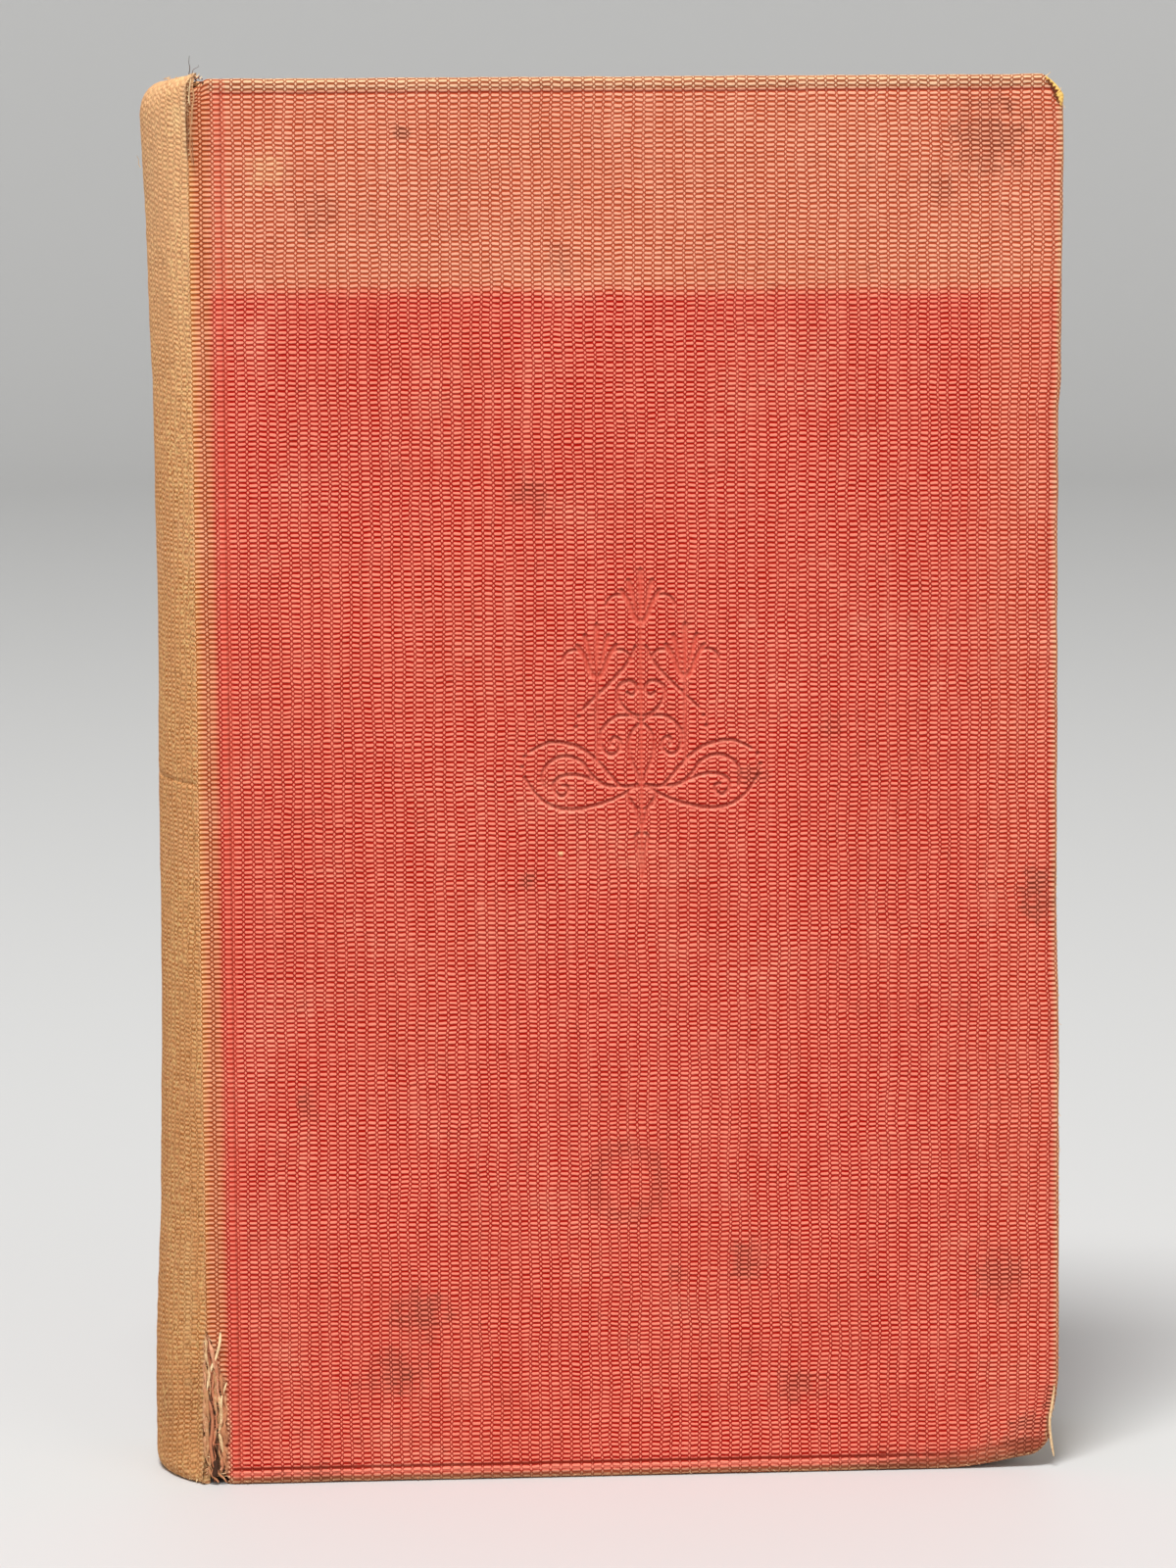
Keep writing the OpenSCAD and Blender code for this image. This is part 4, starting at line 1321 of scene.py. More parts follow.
def effect(
    name: str, inputs: dict[str, float], outputs: tuple[str, ...]
) -> tuple[bpy.types.NodeTree, Nodes, dict[str, Socket], dict[str, Socket]]:
    """Starts a shader node group whose inputs and outputs are all plain numbers.

    Args:
        name: Name of the group.
        inputs: Its inputs, with their values at the start.
        outputs: Its outputs.

    Returns:
        The group, its node writer, its inputs' sockets and its outputs' sockets.
    """
    group = bpy.data.node_groups.new(name, "ShaderNodeTree")
    for key, value in inputs.items():
        group.interface.new_socket(key, in_out="INPUT", socket_type="NodeSocketFloat").default_value = value
    for key in outputs:
        group.interface.new_socket(key, in_out="OUTPUT", socket_type="NodeSocketFloat")
    draw = Nodes(group)
    start = draw.node("NodeGroupInput")
    end = draw.node("NodeGroupOutput")
    return group, draw, {k: start.outputs[k] for k in inputs}, {k: end.inputs[k] for k in outputs}


def grain_effect() -> bpy.types.NodeTree:
    """The embossed grain of book cloth: flat pads in columns and rows, in a net of sunk lines.

    The sunk line of row n lies at b = n on a pad. In the gap between two columns it bends by half a row, up and down
    at once, so that it meets its neighbours in a knot: line = max(near(b + bend), near(b - bend)).

    Returns:
        The group, with a tone, a height and the mask of the sunk lines.
    """
    if "cloth_grain" in bpy.data.node_groups:
        return bpy.data.node_groups["cloth_grain"]
    inputs = {"Across": 0.0, "Up": 0.0, "Column": 1.363, "Row": 0.676, "Wander": 1.0}
    group, draw, given, out = effect("cloth_grain", inputs, ("Tone", "Height", "Sunk"))
    flat = draw.vector(given["Across"], given["Up"])
    sway = draw.times(draw.minus(draw.noise(flat, 0.13, 1.0), 0.5), 1.0)
    sag = draw.times(draw.minus(draw.noise(flat, 0.3, 1.0), 0.5), 0.62)
    a = draw.math("DIVIDE", draw.scaled(sway, given["Wander"], given["Across"]), given["Column"])
    b = draw.math("DIVIDE", draw.scaled(sag, given["Wander"], given["Up"]), given["Row"])
    column = draw.math("FLOOR", a)
    sunk_cell = draw.vector(column, draw.math("FLOOR", draw.plus(b, 0.5)))
    pad_cell = draw.vector(draw.plus(column, 0.37), draw.math("FLOOR", b))
    sunk_luck = draw.node("ShaderNodeTexWhiteNoise", {"Vector": sunk_cell}, noise_dimensions="2D").outputs["Value"]
    pad_luck = draw.node("ShaderNodeTexWhiteNoise", {"Vector": pad_cell}, noise_dimensions="2D").outputs["Value"]
    gap = draw.ramp(draw.off_middle(a), 0.3, 0.48)
    bend = draw.times(gap, 0.5)
    lines = [draw.off_middle(way(b, bend)) for way in (draw.plus, draw.minus)]
    valley = draw.ramp(draw.most(*lines), 0.1, 0.426)
    weight = draw.scaled(sunk_luck, 0.24, 1.04)
    weight = draw.minus(weight, draw.times(gap, 0.22))
    sunk = draw.times(valley, weight)
    fine = draw.streaks(given["Across"], given["Up"], 2.6, 5.5, 3.0, 0.7)
    fibre = draw.times(draw.minus(fine, 0.5), 0.9)
    pad = draw.scaled(pad_luck, 0.12, 0.92)
    tone_now = draw.plus(draw.minus(pad, sunk), fibre, clamp=True)
    draw.put(out["Tone"], tone_now)
    draw.put(out["Height"], draw.scaled(fibre, 0.45, draw.minus(1.0, sunk)))
    draw.put(out["Sunk"], sunk)
    return group


def blotch_effect() -> bpy.types.NodeTree:
    """Uneven wear as three masks.

    Returns:
        The group, with broad clouds, small dark specks and pale rubbed clouds.
    """
    if "soft_blotches" in bpy.data.node_groups:
        return bpy.data.node_groups["soft_blotches"]
    group, draw, given, out = effect("soft_blotches", {"Across": 0.0, "Up": 0.0}, ("Broad", "Fine", "Pale"))
    flat = draw.vector(given["Across"], given["Up"])
    moved = draw.vector(draw.plus(given["Across"], 400.0), given["Up"])
    draw.put(out["Broad"], draw.ramp(draw.noise(flat, 0.035, 4.0, 0.6), 0.36, 0.66))
    draw.put(out["Fine"], draw.ramp(draw.noise(flat, 0.3, 6.0, 0.8), 0.52, 0.7))
    draw.put(out["Pale"], draw.ramp(draw.noise(moved, 0.05, 6.0, 0.72), 0.5, 0.72))
    return group


@dataclass(frozen=True)
class Stain:
    """A soiled or pale patch of the cloth: how strong it is, how tall for its width, and if only its rim shows."""

    x: float
    z: float
    size: float
    strength: float
    tall: float = 1.0
    ring: bool = False
    pale: bool = False


@dataclass(frozen=True)
class Paint:
    """What a finish draws: its colour, and the relief of its bump, whose depth is in millimetres."""

    colour: Socket
    relief: Socket | None = None
    depth: float = 0.0
    strength: float = 1.0


class Look:
    """A matt material that is built once, from what its own paint method draws."""

    name: str
    roughness: float
    gloss: float

    def paint(self, draw: Nodes) -> Paint:
        """Draws the colour and the relief, in each finish's own way."""
        raise NotImplementedError

    def material(self) -> bpy.types.Material:
        """Builds the material, unless there is one already.

        Returns:
            The material.
        """
        if self.name in bpy.data.materials:
            return bpy.data.materials[self.name]
        material = bpy.data.materials.new(self.name)
        material.use_nodes = True
        draw = Nodes(material.node_tree)
        shader = material.node_tree.nodes["Principled BSDF"]
        paint = self.paint(draw)
        draw.put(shader.inputs["Base Color"], paint.colour)
        if paint.relief is not None:
            bump = {"Height": paint.relief, "Distance": paint.depth * MM, "Strength": paint.strength}
            draw.put(shader.inputs["Normal"], draw.node("ShaderNodeBump", bump).outputs[0])
        draw.put(shader.inputs["Roughness"], self.roughness)
        draw.put(shader.inputs["Specular IOR Level"], self.gloss)
        return material


@dataclass(frozen=True)
class Finish(Look):
    """A plain matt finish: two colours clouded together, with a fine speckle and a soft relief."""

    name: str
    light: Colour
    dark: Colour
    cloud: float = 60.0
    speckle: float = 900.0
    relief: float = 0.02
    roughness: float = 0.85
    gloss: float = 0.2

    def paint(self, draw: Nodes) -> Paint:
        """Draws the clouds and the speckle."""
        place = draw.place()
        clouds = draw.ramp(draw.noise(place, self.cloud, 4.0, 0.6), 0.3, 0.7)
        grain = draw.noise(place, self.speckle, 2.0, 0.6)
        share = draw.scaled(draw.minus(grain, 0.5), 0.9, clouds, clamp=True)
        return Paint(draw.mix(share, self.dark, self.light), grain, self.relief)


@dataclass(frozen=True)
class BookCloth(Look):
    """Red grained cloth, faded to orange where light reached it and to tan over the back.

    The first five pairs of colours are the grain's sunk lines and its pads. A side of None is the rounded back's.
    """

    name: str
    side: Side | None
    red: tuple[Colour, Colour] = (tone(160, 9, 3), tone(247, 139, 116))
    faded: tuple[Colour, Colour] = (tone(170, 68, 38), tone(244, 171, 140))
    tan: tuple[Colour, Colour] = (tone(170, 98, 40), tone(255, 197, 140))
    joint: tuple[Colour, Colour] = (tone(152, 66, 30), tone(234, 162, 124))
    wrap: tuple[Colour, Colour] = (tone(148, 74, 44), tone(236, 192, 156))
    rubbed: Colour = tone(236, 188, 138)
    frayed: Colour = tone(238, 200, 156)
    pressed: Colour = tone(212, 84, 66)
    groove: Colour = tone(128, 30, 16)
    # Painted light: shadow is painted shade for the stamped grooves' upper walls, and crest is a painted highlight for
    # their lower walls.
    shadow: Colour = tone(112, 14, 8)
    crest: Colour = tone(255, 166, 142)
    dirt: Colour = tone(92, 46, 30)
    rust: Colour = tone(168, 74, 52)
    bloom: Colour = tone(250, 190, 156)
    bare: Colour = tone(246, 210, 150)
    torn: Colour = tone(150, 96, 66)
    weave: tuple[Colour, Colour] = (tone(128, 76, 34), tone(246, 206, 138))
    # Painted shade towards the back's tail and painted light towards its head.
    ends: tuple[Colour, Colour] = (tone(150, 96, 48), tone(255, 216, 172))
    # The dark colour is painted shade along the cover's tail edge; the pale one is a pink strip just above it.
    tail_rim: tuple[Colour, Colour] = (tone(136, 68, 44), tone(246, 146, 122))
    soiling: float = 0.64
    relief: float = 0.07
    roughness: float = 0.85
    gloss: float = 0.06

    def between(self, draw: Nodes, value: object, low: float, high: float, soft: float) -> Socket:
        """Mask of the values between low and high, with soft ends."""
        rise = draw.ramp(value, low - soft, low + soft)
        fall = draw.ramp(value, high + soft, high - soft)
        return draw.times(rise, fall)

    def zones(self, draw: Nodes, share: object, x: object, z: object, waver: object) -> Socket:
        """Colour of the clean cloth: each zone is a dark and a pale colour, mixed by the grain.

        Args:
            draw: Writer of the material's nodes.
            share: The grain's tone.
            x: Place across the closed book, in millimetres.
            z: Place up the book.
            waver: Noise that makes the zones' borders uneven, around 0.

        Returns:
            The colour.
        """
        pairs = (self.red, self.faded, self.tan, self.joint, self.wrap)
        red, faded, tan, joint, wrap = (draw.mix(share, *pair) for pair in pairs)
        line = FADE_LINE[self.side]
        edge = draw.scaled(waver, 2.2, draw.scaled(x, 0.006, z))
        band = draw.ramp(edge, line - 1.5, line + 1.3)
        margin_x = draw.ramp(draw.scaled(waver, 3.0, x), 47.0, 55.0)
        margin_z = draw.ramp(z, 70.0, 160.0)
        margin = draw.times(margin_x, draw.scaled(margin_z, 0.22, 0.14))
        sun = draw.most(draw.times(band, 0.95), margin)
        body = draw.mix(sun, red, faded)
        rims = draw.most(draw.ramp(z, 188.2, 188.5), draw.times(draw.ramp(x, 59.9, 60.9), 0.6))
        rims = draw.most(rims, draw.times(draw.ramp(z, 1.3, 0.6), 0.75))
        body = draw.mix(rims, body, wrap)
        place = draw.scaled(waver, 0.5, x)
        body = draw.mix(draw.ramp(place, -51.8, -53.2), body, joint)
        low_part = draw.ramp(z, 60.0, 5.0, 0.0, 1.0)
        tan_start = draw.scaled(low_part, 0.4, place)
        return draw.mix(draw.ramp(tan_start, -54.0, -55.3), body, tan)

    def fibres(self, draw: Nodes, colour: object, x: object, z: object) -> Socket:
        """Draws the back's worn weave: pale and brown fibres across the grain, thickest where it was rubbed, with
        painted light towards the head and painted shade towards the tail.

        Args:
            draw: Writer of the material's nodes.
            colour: The cloth's colour so far.
            x: Place across the unrolled back.
            z: Place up the book.

        Returns:
            The new colour.
        """
        brown, pale = self.weave
        leaning = draw.streaks(draw.scaled(z, -0.55, x), draw.scaled(x, 0.55, z), 2.6, 0.8, 3.0, 0.65)
        crossing = draw.streaks(x, z, 3.2, 0.6, 4.0, 0.7, 7.0)
        worn = draw.ramp(draw.streaks(x, z, 0.2, 0.06), 0.4, 0.62)
        pale_share = draw.times(draw.ramp(leaning, 0.48, 0.62), draw.scaled(worn, 0.4, 0.22))
        brown_share = draw.times(draw.ramp(crossing, 0.5, 0.64), 0.66)
        colour = draw.mix(pale_share, draw.mix(brown_share, colour, brown), pale)
        # Painted light and shade: paler towards the head, browner towards the tail.
        tail, head = self.ends
        colour = draw.mix(draw.ramp(z, 130.0, 182.0, 0.0, 0.2), colour, head)
        return draw.mix(draw.ramp(z, 175.0, 30.0, 0.0, 0.24), colour, tail)

    def soil(self, draw: Nodes, x: object, z: object, pale: bool = False) -> Socket:
        """Mask of the soiled or of the pale patches, each one a disc whose edge noise breaks up.

        Args:
            draw: Writer of the material's nodes.
            x: Place across the book.
            z: Place up the book.
            pale: Picks the pale patches.

        Returns:
            The mask.
        """
        flat = draw.vector(x, z)
        ragged = draw.times(draw.minus(draw.noise(flat, 0.42, 6.0, 0.78), 0.5), 4.2)
        total: object = 0.0
        for spot in SPOTS[self.side]:
            if spot.pale is not pale:
                continue
            dx = draw.math("DIVIDE", draw.minus(x, spot.x), spot.size)
            dz = draw.math("DIVIDE", draw.minus(z, spot.z), spot.size * spot.tall)
            away = draw.math("SQRT", draw.plus(draw.times(dx, dx), draw.times(dz, dz)))
            if spot.ring:
                away = draw.times(draw.math("ABSOLUTE", draw.minus(away, 1.0)), 3.2)
            near = draw.ramp(draw.plus(away, ragged), 1.3, 0.2, 0.0, spot.strength * self.soiling)
            total = draw.most(total, near)
        return total

    def stamped_lines(self, draw: Nodes, colour: object, x: object, z: object) -> Socket:
        """Draws the border's pressed lines: a smooth strip by the joint, and a groove by head, tail and fore edge, with
        painted shade along the tail edge.

        Args:
            draw: Writer of the material's nodes.
            colour: The cloth's colour so far.
            x: Place across the cover.
            z: Place up the cover.

        Returns:
            The new colour.
        """
        inside = draw.ramp(x, -52.2, -51.6)
        flat_strip = draw.times(self.between(draw, x, -51.7, -50.2, 0.15), 0.4)
        colour = draw.mix(flat_strip, colour, draw.mix(0.35, self.pressed, colour))
        hair = self.between(draw, x, -51.05, -50.8, 0.08)
        head = self.between(draw, z, 187.9, 188.2, 0.1)
        tail = draw.times(self.between(draw, z, 1.95, 2.4, 0.12), 1.35)
        away = draw.ramp(draw.scaled(draw.noise(draw.vector(x, z), 0.5, 3.0, 0.6), 12.0, x), 60.0, 40.0)
        tail = draw.times(tail, away)
        strip = draw.times(self.between(draw, z, 1.3, 1.75, 0.15), draw.times(inside, 0.4))
        painted_rim_shade, pink_rim = self.tail_rim
        colour = draw.mix(draw.times(strip, away), colour, pink_rim)
        # Painted shade: darker towards the tail edge, reaching higher towards the fore edge.
        shaded_height = draw.scaled(away, -1.6, 2.6)
        colour = draw.mix(draw.ramp(draw.math("DIVIDE", z, shaded_height), 1.5, 0.5, 0.0, 0.75), colour, painted_rim_shade)
        fore = draw.times(self.between(draw, x, 59.8, 60.0, 0.1), 0.5)
        long_lines = draw.times(draw.most(head, tail), inside)
        lines = draw.most(draw.most(draw.times(hair, 0.6), fore), long_lines)
        return draw.mix(draw.times(lines, 0.66), colour, self.groove)

    def grain(self, draw: Nodes, x: object) -> bpy.types.Node:
        """Lays the grain along the cloth's flat sheet.

        Args:
            draw: Writer of the material's nodes.
            x: Place across the book.

        Returns:
            The grain's node.
        """
        grain = draw.node("ShaderNodeGroup", node_tree=grain_effect())
        across, up = draw.mark("sheet_a"), draw.mark("sheet_b")
        from_middle = draw.times(draw.minus(up, BOOK.middle), 1 / BOOK.middle)
        skewed = draw.times(draw.math("POWER", from_middle, 3.0), 0.3)
        beside = draw.math("MINIMUM", draw.plus(across, -BOOK.ridge_x), 0.0)
        draw.put(grain.inputs["Across"], draw.plus(across, 52.0))
        draw.put(grain.inputs["Up"], draw.scaled(beside, skewed, up))
        draw.put(grain.inputs["Wander"], draw.ramp(x, -52.5, -45.0, 0.25, 1.0) if self.side else 1.6)
        return grain

    def grain_share(self, draw: Nodes, grain: object, x: object, z: object, level: object) -> Socket:
        """How much of the grain's pale colour shows: less where the cloth is streaky, rubbed flat or stamped.

        Args:
            draw: Writer of the material's nodes.
            grain: The grain's tone.
            x: Place across the book.
            z: Place up the book.
            level: How far the stamping has pressed the grain flat.

        Returns:
            The share.
        """
        streak = draw.streaks(x, z, 0.8, 0.03)
        share = draw.scaled(draw.minus(streak, 0.5), 0.35, grain, clamp=True)
        if self.side is None:
            patchy = draw.ramp(draw.streaks(x, z, 0.5, 0.16, layer=3.0), 0.38, 0.62, 0.3, 0.8)
            share = draw.scaled(draw.minus(share, 0.47), patchy, 0.45)
        ribs = draw.streaks(x, z, 3.4, 0.35, 2.0)
        smooth = draw.scaled(draw.minus(ribs, 0.5), 1.9, 0.4)
        return draw.scaled(level, draw.minus(smooth, share), share)

    def paint(self, draw: Nodes) -> Paint:
        """Draws the cloth: its zones, its stamping, its wear and its soil, one over another, with painted shade and
        highlights on the stamped grooves, along the tail edge and up the back.

        Args:
            draw: Writer of the material's nodes.

        Returns:
            Its colour and the grain's relief.
        """
        x, z = draw.mark("at_x"), draw.mark("at_z")
        line, lobe = draw.mark("line"), draw.mark("lobe")
        waver = draw.minus(draw.noise(draw.vector(x, z), 0.35, 4.0, 0.6), 0.5)
        grain = self.grain(draw, x)
        level = draw.most(draw.times(line, 0.6), draw.times(lobe, 0.6))
        share = self.grain_share(draw, grain.outputs["Tone"], x, z, level)
        colour = self.zones(draw, share, x, z, waver)
        colour = draw.mix(draw.times(lobe, 0.35), colour, self.pressed)
        if self.side is Side.FRONT:
            colour = self.stamped_lines(draw, colour, x, z)
            # Painted shade on the grooves' upper walls, then a painted highlight on their lower walls.
            roof = draw.ramp(draw.mark("roof"), 0.08, 0.8, 0.0, 0.62)
            sill = draw.ramp(draw.mark("sill"), 0.1, 0.9, 0.0, 0.34)
            colour = draw.mix(sill, draw.mix(roof, colour, self.shadow), self.crest)
        blotch = draw.node("ShaderNodeGroup", {"Across": x, "Up": z}, node_tree=blotch_effect())
        colour = draw.mix(draw.times(blotch.outputs["Broad"], 0.1), colour, self.rust)
        colour = draw.mix(draw.times(blotch.outputs["Pale"], draw.scaled(share, 0.22, 0.03)), colour, self.bloom)
        rub = draw.times(draw.mark("rub"), draw.scaled(share, 0.75, 0.12), clamp=True)
        colour = draw.mix(rub, colour, self.rubbed)
        fray = draw.times(draw.mark("fray"), draw.scaled(waver, 2.2, 0.55), clamp=True)
        colour = draw.mix(fray, colour, draw.mix(share, self.torn, self.frayed))
        deep = draw.scaled(grain.outputs["Sunk"], 0.75, 0.3)
        soil = draw.times(self.soil(draw, x, z), deep)
        specks = draw.times(blotch.outputs["Fine"], draw.times(deep, 0.26))
        colour = draw.mix(draw.plus(specks, soil, clamp=True), colour, self.dirt)
        if self.side is not Side.BACK:
            bare = draw.times(self.soil(draw, x, z, True), draw.scaled(share, 0.7, 0.3))
            colour = draw.mix(bare, colour, self.bare)
        if self.side is None:
            colour = self.fibres(draw, colour, x, z)
        height = draw.times(grain.outputs["Height"], draw.scaled(draw.most(line, lobe), -0.6, 1.0))
        return Paint(colour, height, self.relief)


@dataclass(frozen=True)
class FrayFinish(Look):
    """Torn cloth, loose threads and dark strips of painted shadow: each carries its own shade, from dark through tan to
    cream, and its own redness.
    """

    name: str
    dark: Colour
    middle: Colour
    light: Colour
    pink: Colour
    roughness: float = 0.9
    gloss: float = 0.15

    def paint(self, draw: Nodes) -> Paint:
        """Draws the threads' shades."""
        grain = draw.minus(draw.noise(draw.place(), 1900.0, 3.0, 0.7), 0.5)
        shade = draw.scaled(grain, 0.9, draw.mark("shade"), clamp=True)
        colour = draw.mix(draw.ramp(shade, 0.0, 0.5), self.dark, self.middle)
        colour = draw.mix(draw.ramp(shade, 0.5, 1.0), colour, self.light)
        return Paint(draw.mix(draw.times(draw.mark("pink"), 0.8), colour, self.pink))


@dataclass(frozen=True)
class BandFinish(Look):
    """The sewn bands: two threads wound in turn, so the colour changes with the angle round the back's middle."""

    name: str = "band_two_threads"
    pale: Colour = tone(226, 214, 184)
    blue: Colour = tone(92, 112, 126)
    shadow: Colour = tone(70, 66, 58)
    wraps: float = 27.0
    roughness: float = 0.8
    gloss: float = 0.2

    def paint(self, draw: Nodes) -> Paint:
        """Draws the two threads and the strands that they are spun of."""
        x, y, z = draw.axes(draw.place())
        angle = draw.math("ARCTAN2", y, draw.minus(BOOK.back_x * MM, x))
        run = draw.scaled(angle, self.wraps, draw.times(z, 260.0))
        strand = draw.off_middle(draw.times(run, 4.0))
        colour = draw.mix(draw.ramp(draw.off_middle(run), 0.2, 0.3), self.pale, self.blue)
        return Paint(draw.mix(draw.times(draw.ramp(strand, 0.3, 0.5), 0.45), colour, self.shadow), strand, 0.08)


FRAY = FrayFinish("torn_cloth", tone(70, 46, 34), tone(182, 134, 92), tone(246, 216, 168), tone(204, 104, 82))
BARE_BOARD = FrayFinish("bare_board", tone(96, 46, 26), tone(206, 152, 74), tone(240, 196, 110), tone(150, 70, 40))
BAND = BandFinish()

STAINS = (
    Stain(-25.9, 23.3, 3.6, 0.8), Stain(-29.7, 15.3, 4.6, 0.7, 0.7), Stain(18.2, 29.6, 2.6, 0.75, 1.3),
    Stain(25.0, 12.4, 3.6, 0.7, 0.7), Stain(53.2, 27.2, 4.0, 0.6), Stain(-26.9, 182.8, 1.2, 0.9),
    Stain(51.6, 182.0, 6.0, 0.7), Stain(-10.3, 135.2, 3.0, 0.55), Stain(-10.8, 82.3, 1.5, 0.8),
    Stain(58.5, 79.9, 2.6, 0.9, 1.6), Stain(19.5, 96.5, 2.4, 0.7, 0.6), Stain(30.5, 103.0, 2.2, 0.5),
    Stain(45.0, 175.2, 2.6, 0.5), Stain(2.2, 41.0, 4.6, 0.4, 1.0, True), Stain(57.0, 2.2, 5.0, 0.9, 0.6),
    Stain(57.6, 4.4, 3.6, 0.9, 0.7), Stain(60.6, 9.0, 1.2, 1.2, 3.5),
    Stain(-40.0, 0.8, 6.0, 0.7, 0.3), Stain(-38.0, 172.5, 3.5, 0.4), Stain(8.9, 28.1, 1.4, 0.5),
    Stain(-41.0, 52.0, 1.6, 0.6, 1.5), Stain(40.0, 1.0, 9.0, 0.7, 0.25), Stain(-6.0, 166.0, 2.4, 0.4),
    Stain(-6.5, 86.0, 0.45, 1.3, pale=True), Stain(-45.0, 178.0, 3.0, 0.5, pale=True),
)
BACK_STAINS = (Stain(30.0, 150.0, 4.0, 0.6), Stain(-20.0, 40.0, 6.0, 0.5), Stain(55.0, 5.0, 6.0, 0.7))
SPINE_STAINS = (Stain(-64.0, 10.0, 4.0, 0.5), Stain(-70.0, 176.0, 5.0, 0.4), Stain(-56.4, 12.0, 2.6, 0.6, 2.6),
                Stain(-57.2, 185.0, 1.5, 0.9, 1.6, pale=True), Stain(-58.6, 26.0, 1.4, 0.6, 8.0, pale=True))
SPOTS = {Side.FRONT: STAINS, Side.BACK: BACK_STAINS, None: SPINE_STAINS}
# Height from which light has faded the cloth.
FADE_LINE = {Side.FRONT: 161.8, Side.BACK: 176.0, None: 176.0}


# ---- the inside


@dataclass
class Leaves:
    """The sewn leaves as one block: each leaf's outline in x and z, carried from the back leaf to the front one."""

    groups: int = 92
    hollow: float = 4.0
    flare: float = 1.12
    fore_steps: int = 39
    end_steps: int = 47
    back_steps: int = 25

    def strips(self, ring: Array) -> list[Array]:
        """Cuts an outer leaf into upright strips, each one flat, from the fore edge to the back.

        Args:
            ring: Index numbers of its outline.

        Returns:
            Index numbers of each strip's corners.
        """
        count, head = len(ring), self.fore_steps
        back = head + self.end_steps
        ring = np.append(ring, ring[0])
        middle = [ring[[head + k, head + k + 1, count - 1 - k, count - k]] for k in range(1, self.end_steps - 1)]
        return [np.append(ring[: head + 2], ring[count - 1]), *middle, ring[back - 1 : back + self.back_steps + 2]]

    def build(self) -> Piece:
        """Makes the block: the outline is a closed loop, and every leaf stands out a little differently.

        Returns:
            The piece.
        """
        draw = np.random.default_rng(5)
        leaf = np.repeat(np.arange(self.groups), 3)
        part = np.tile(np.array([0.0, 0.5, 0.92]), self.groups)
        y = -BOOK.leaf_half + 2 * BOOK.leaf_half * (leaf + part) / self.groups
        crest = np.tile(np.array([0.0, 1.0, 0.0]), self.groups)
        sections = np.floor(np.arange(self.groups) / 4.0)
        jitter = draw.normal(size=(self.groups, 4)) * 0.05
        jitter += (draw.normal(size=(int(sections.max()) + 1, 4)) * 0.09)[sections.astype(int)]
        jitter = jitter[leaf] + crest[:, None] * 0.09
        steps = (self.fore_steps, self.end_steps, self.back_steps)
        t_fore, t_end, t_back = (np.linspace(0, 1, count, endpoint=False) for count in steps)
        share_x = np.concatenate([t_fore * 0 + 1, 1 - t_end, t_back * 0, t_end])
        share_z = np.concatenate([t_fore, t_end * 0 + 1, 1 - t_back, t_end * 0])
        fore = BOOK.leaf_x - self.hollow * (1 - (y / BOOK.leaf_half) ** 2) + jitter[:, 0]
        back = BOOK.back_x - np.sqrt(BOOK.leaf_r**2 - np.clip(y * self.flare, -12.2, 12.2) ** 2)
        low = BOOK.leaf_low - jitter[:, 1]
        high = BOOK.leaf_high + jitter[:, 2]
        x = back[:, None] + (fore - back)[:, None] * share_x
        z = low[:, None] + (high - low)[:, None] * share_z
        spread = 1 + (self.flare - 1) * smooth_step(-46.0, -53.9, x)
        wave = 0.12 * ripple(z, y[:, None] + 0 * z, 45.0, 31) * smooth_step(0.9, 1.0, share_x)
        points = np.stack([x + wave, y[:, None] * spread, z], axis=-1)
        draft = MeshDraft()
        index = draft.add_points(points, {"leaf": (leaf % 7 / 7.0)[:, None] + 0 * x})
        draft.add_loops(index, capped=False)
        draft.faces += [strip[None, ::-1] for strip in self.strips(index[0])]
        draft.faces += [strip[None] for strip in self.strips(index[-1])]
        return draft.build("sewn_leaves", PAPER_EDGE, flip=True)


@dataclass(frozen=True)
class PaperEdge(Look):
    """Stacked paper seen from its edges: fine lines that follow the leaves, browned and dusty at the head."""

    name: str = "leaf_edges"
    light: Colour = tone(232, 214, 174)
    dark: Colour = tone(176, 152, 112)
    brown: Colour = tone(168, 132, 86)
    dust: Colour = tone(138, 116, 90)
    roughness: float = 0.9
    gloss: float = 0.15

    def paint(self, draw: Nodes) -> Paint:
        """Draws the leaves' lines, the brown clouds and the dust."""
        place = draw.place()
        x, y, z = draw.axes(place)
        lines = draw.streaks(x, y, 40.0, 9000.0, 3.0, 0.7, draw.times(z, 40.0))
        clouds = draw.ramp(draw.noise(place, 70.0, 5.0, 0.65), 0.42, 0.75)
        colour = draw.mix(draw.ramp(lines, 0.3, 0.7), self.dark, self.light)
        colour = draw.mix(draw.times(clouds, 0.4), colour, self.brown)
        colour = draw.mix(draw.times(draw.ramp(z, 0.1855, 0.1869), 0.35), colour, self.dust)
        return Paint(colour, lines, 0.04, 0.8)


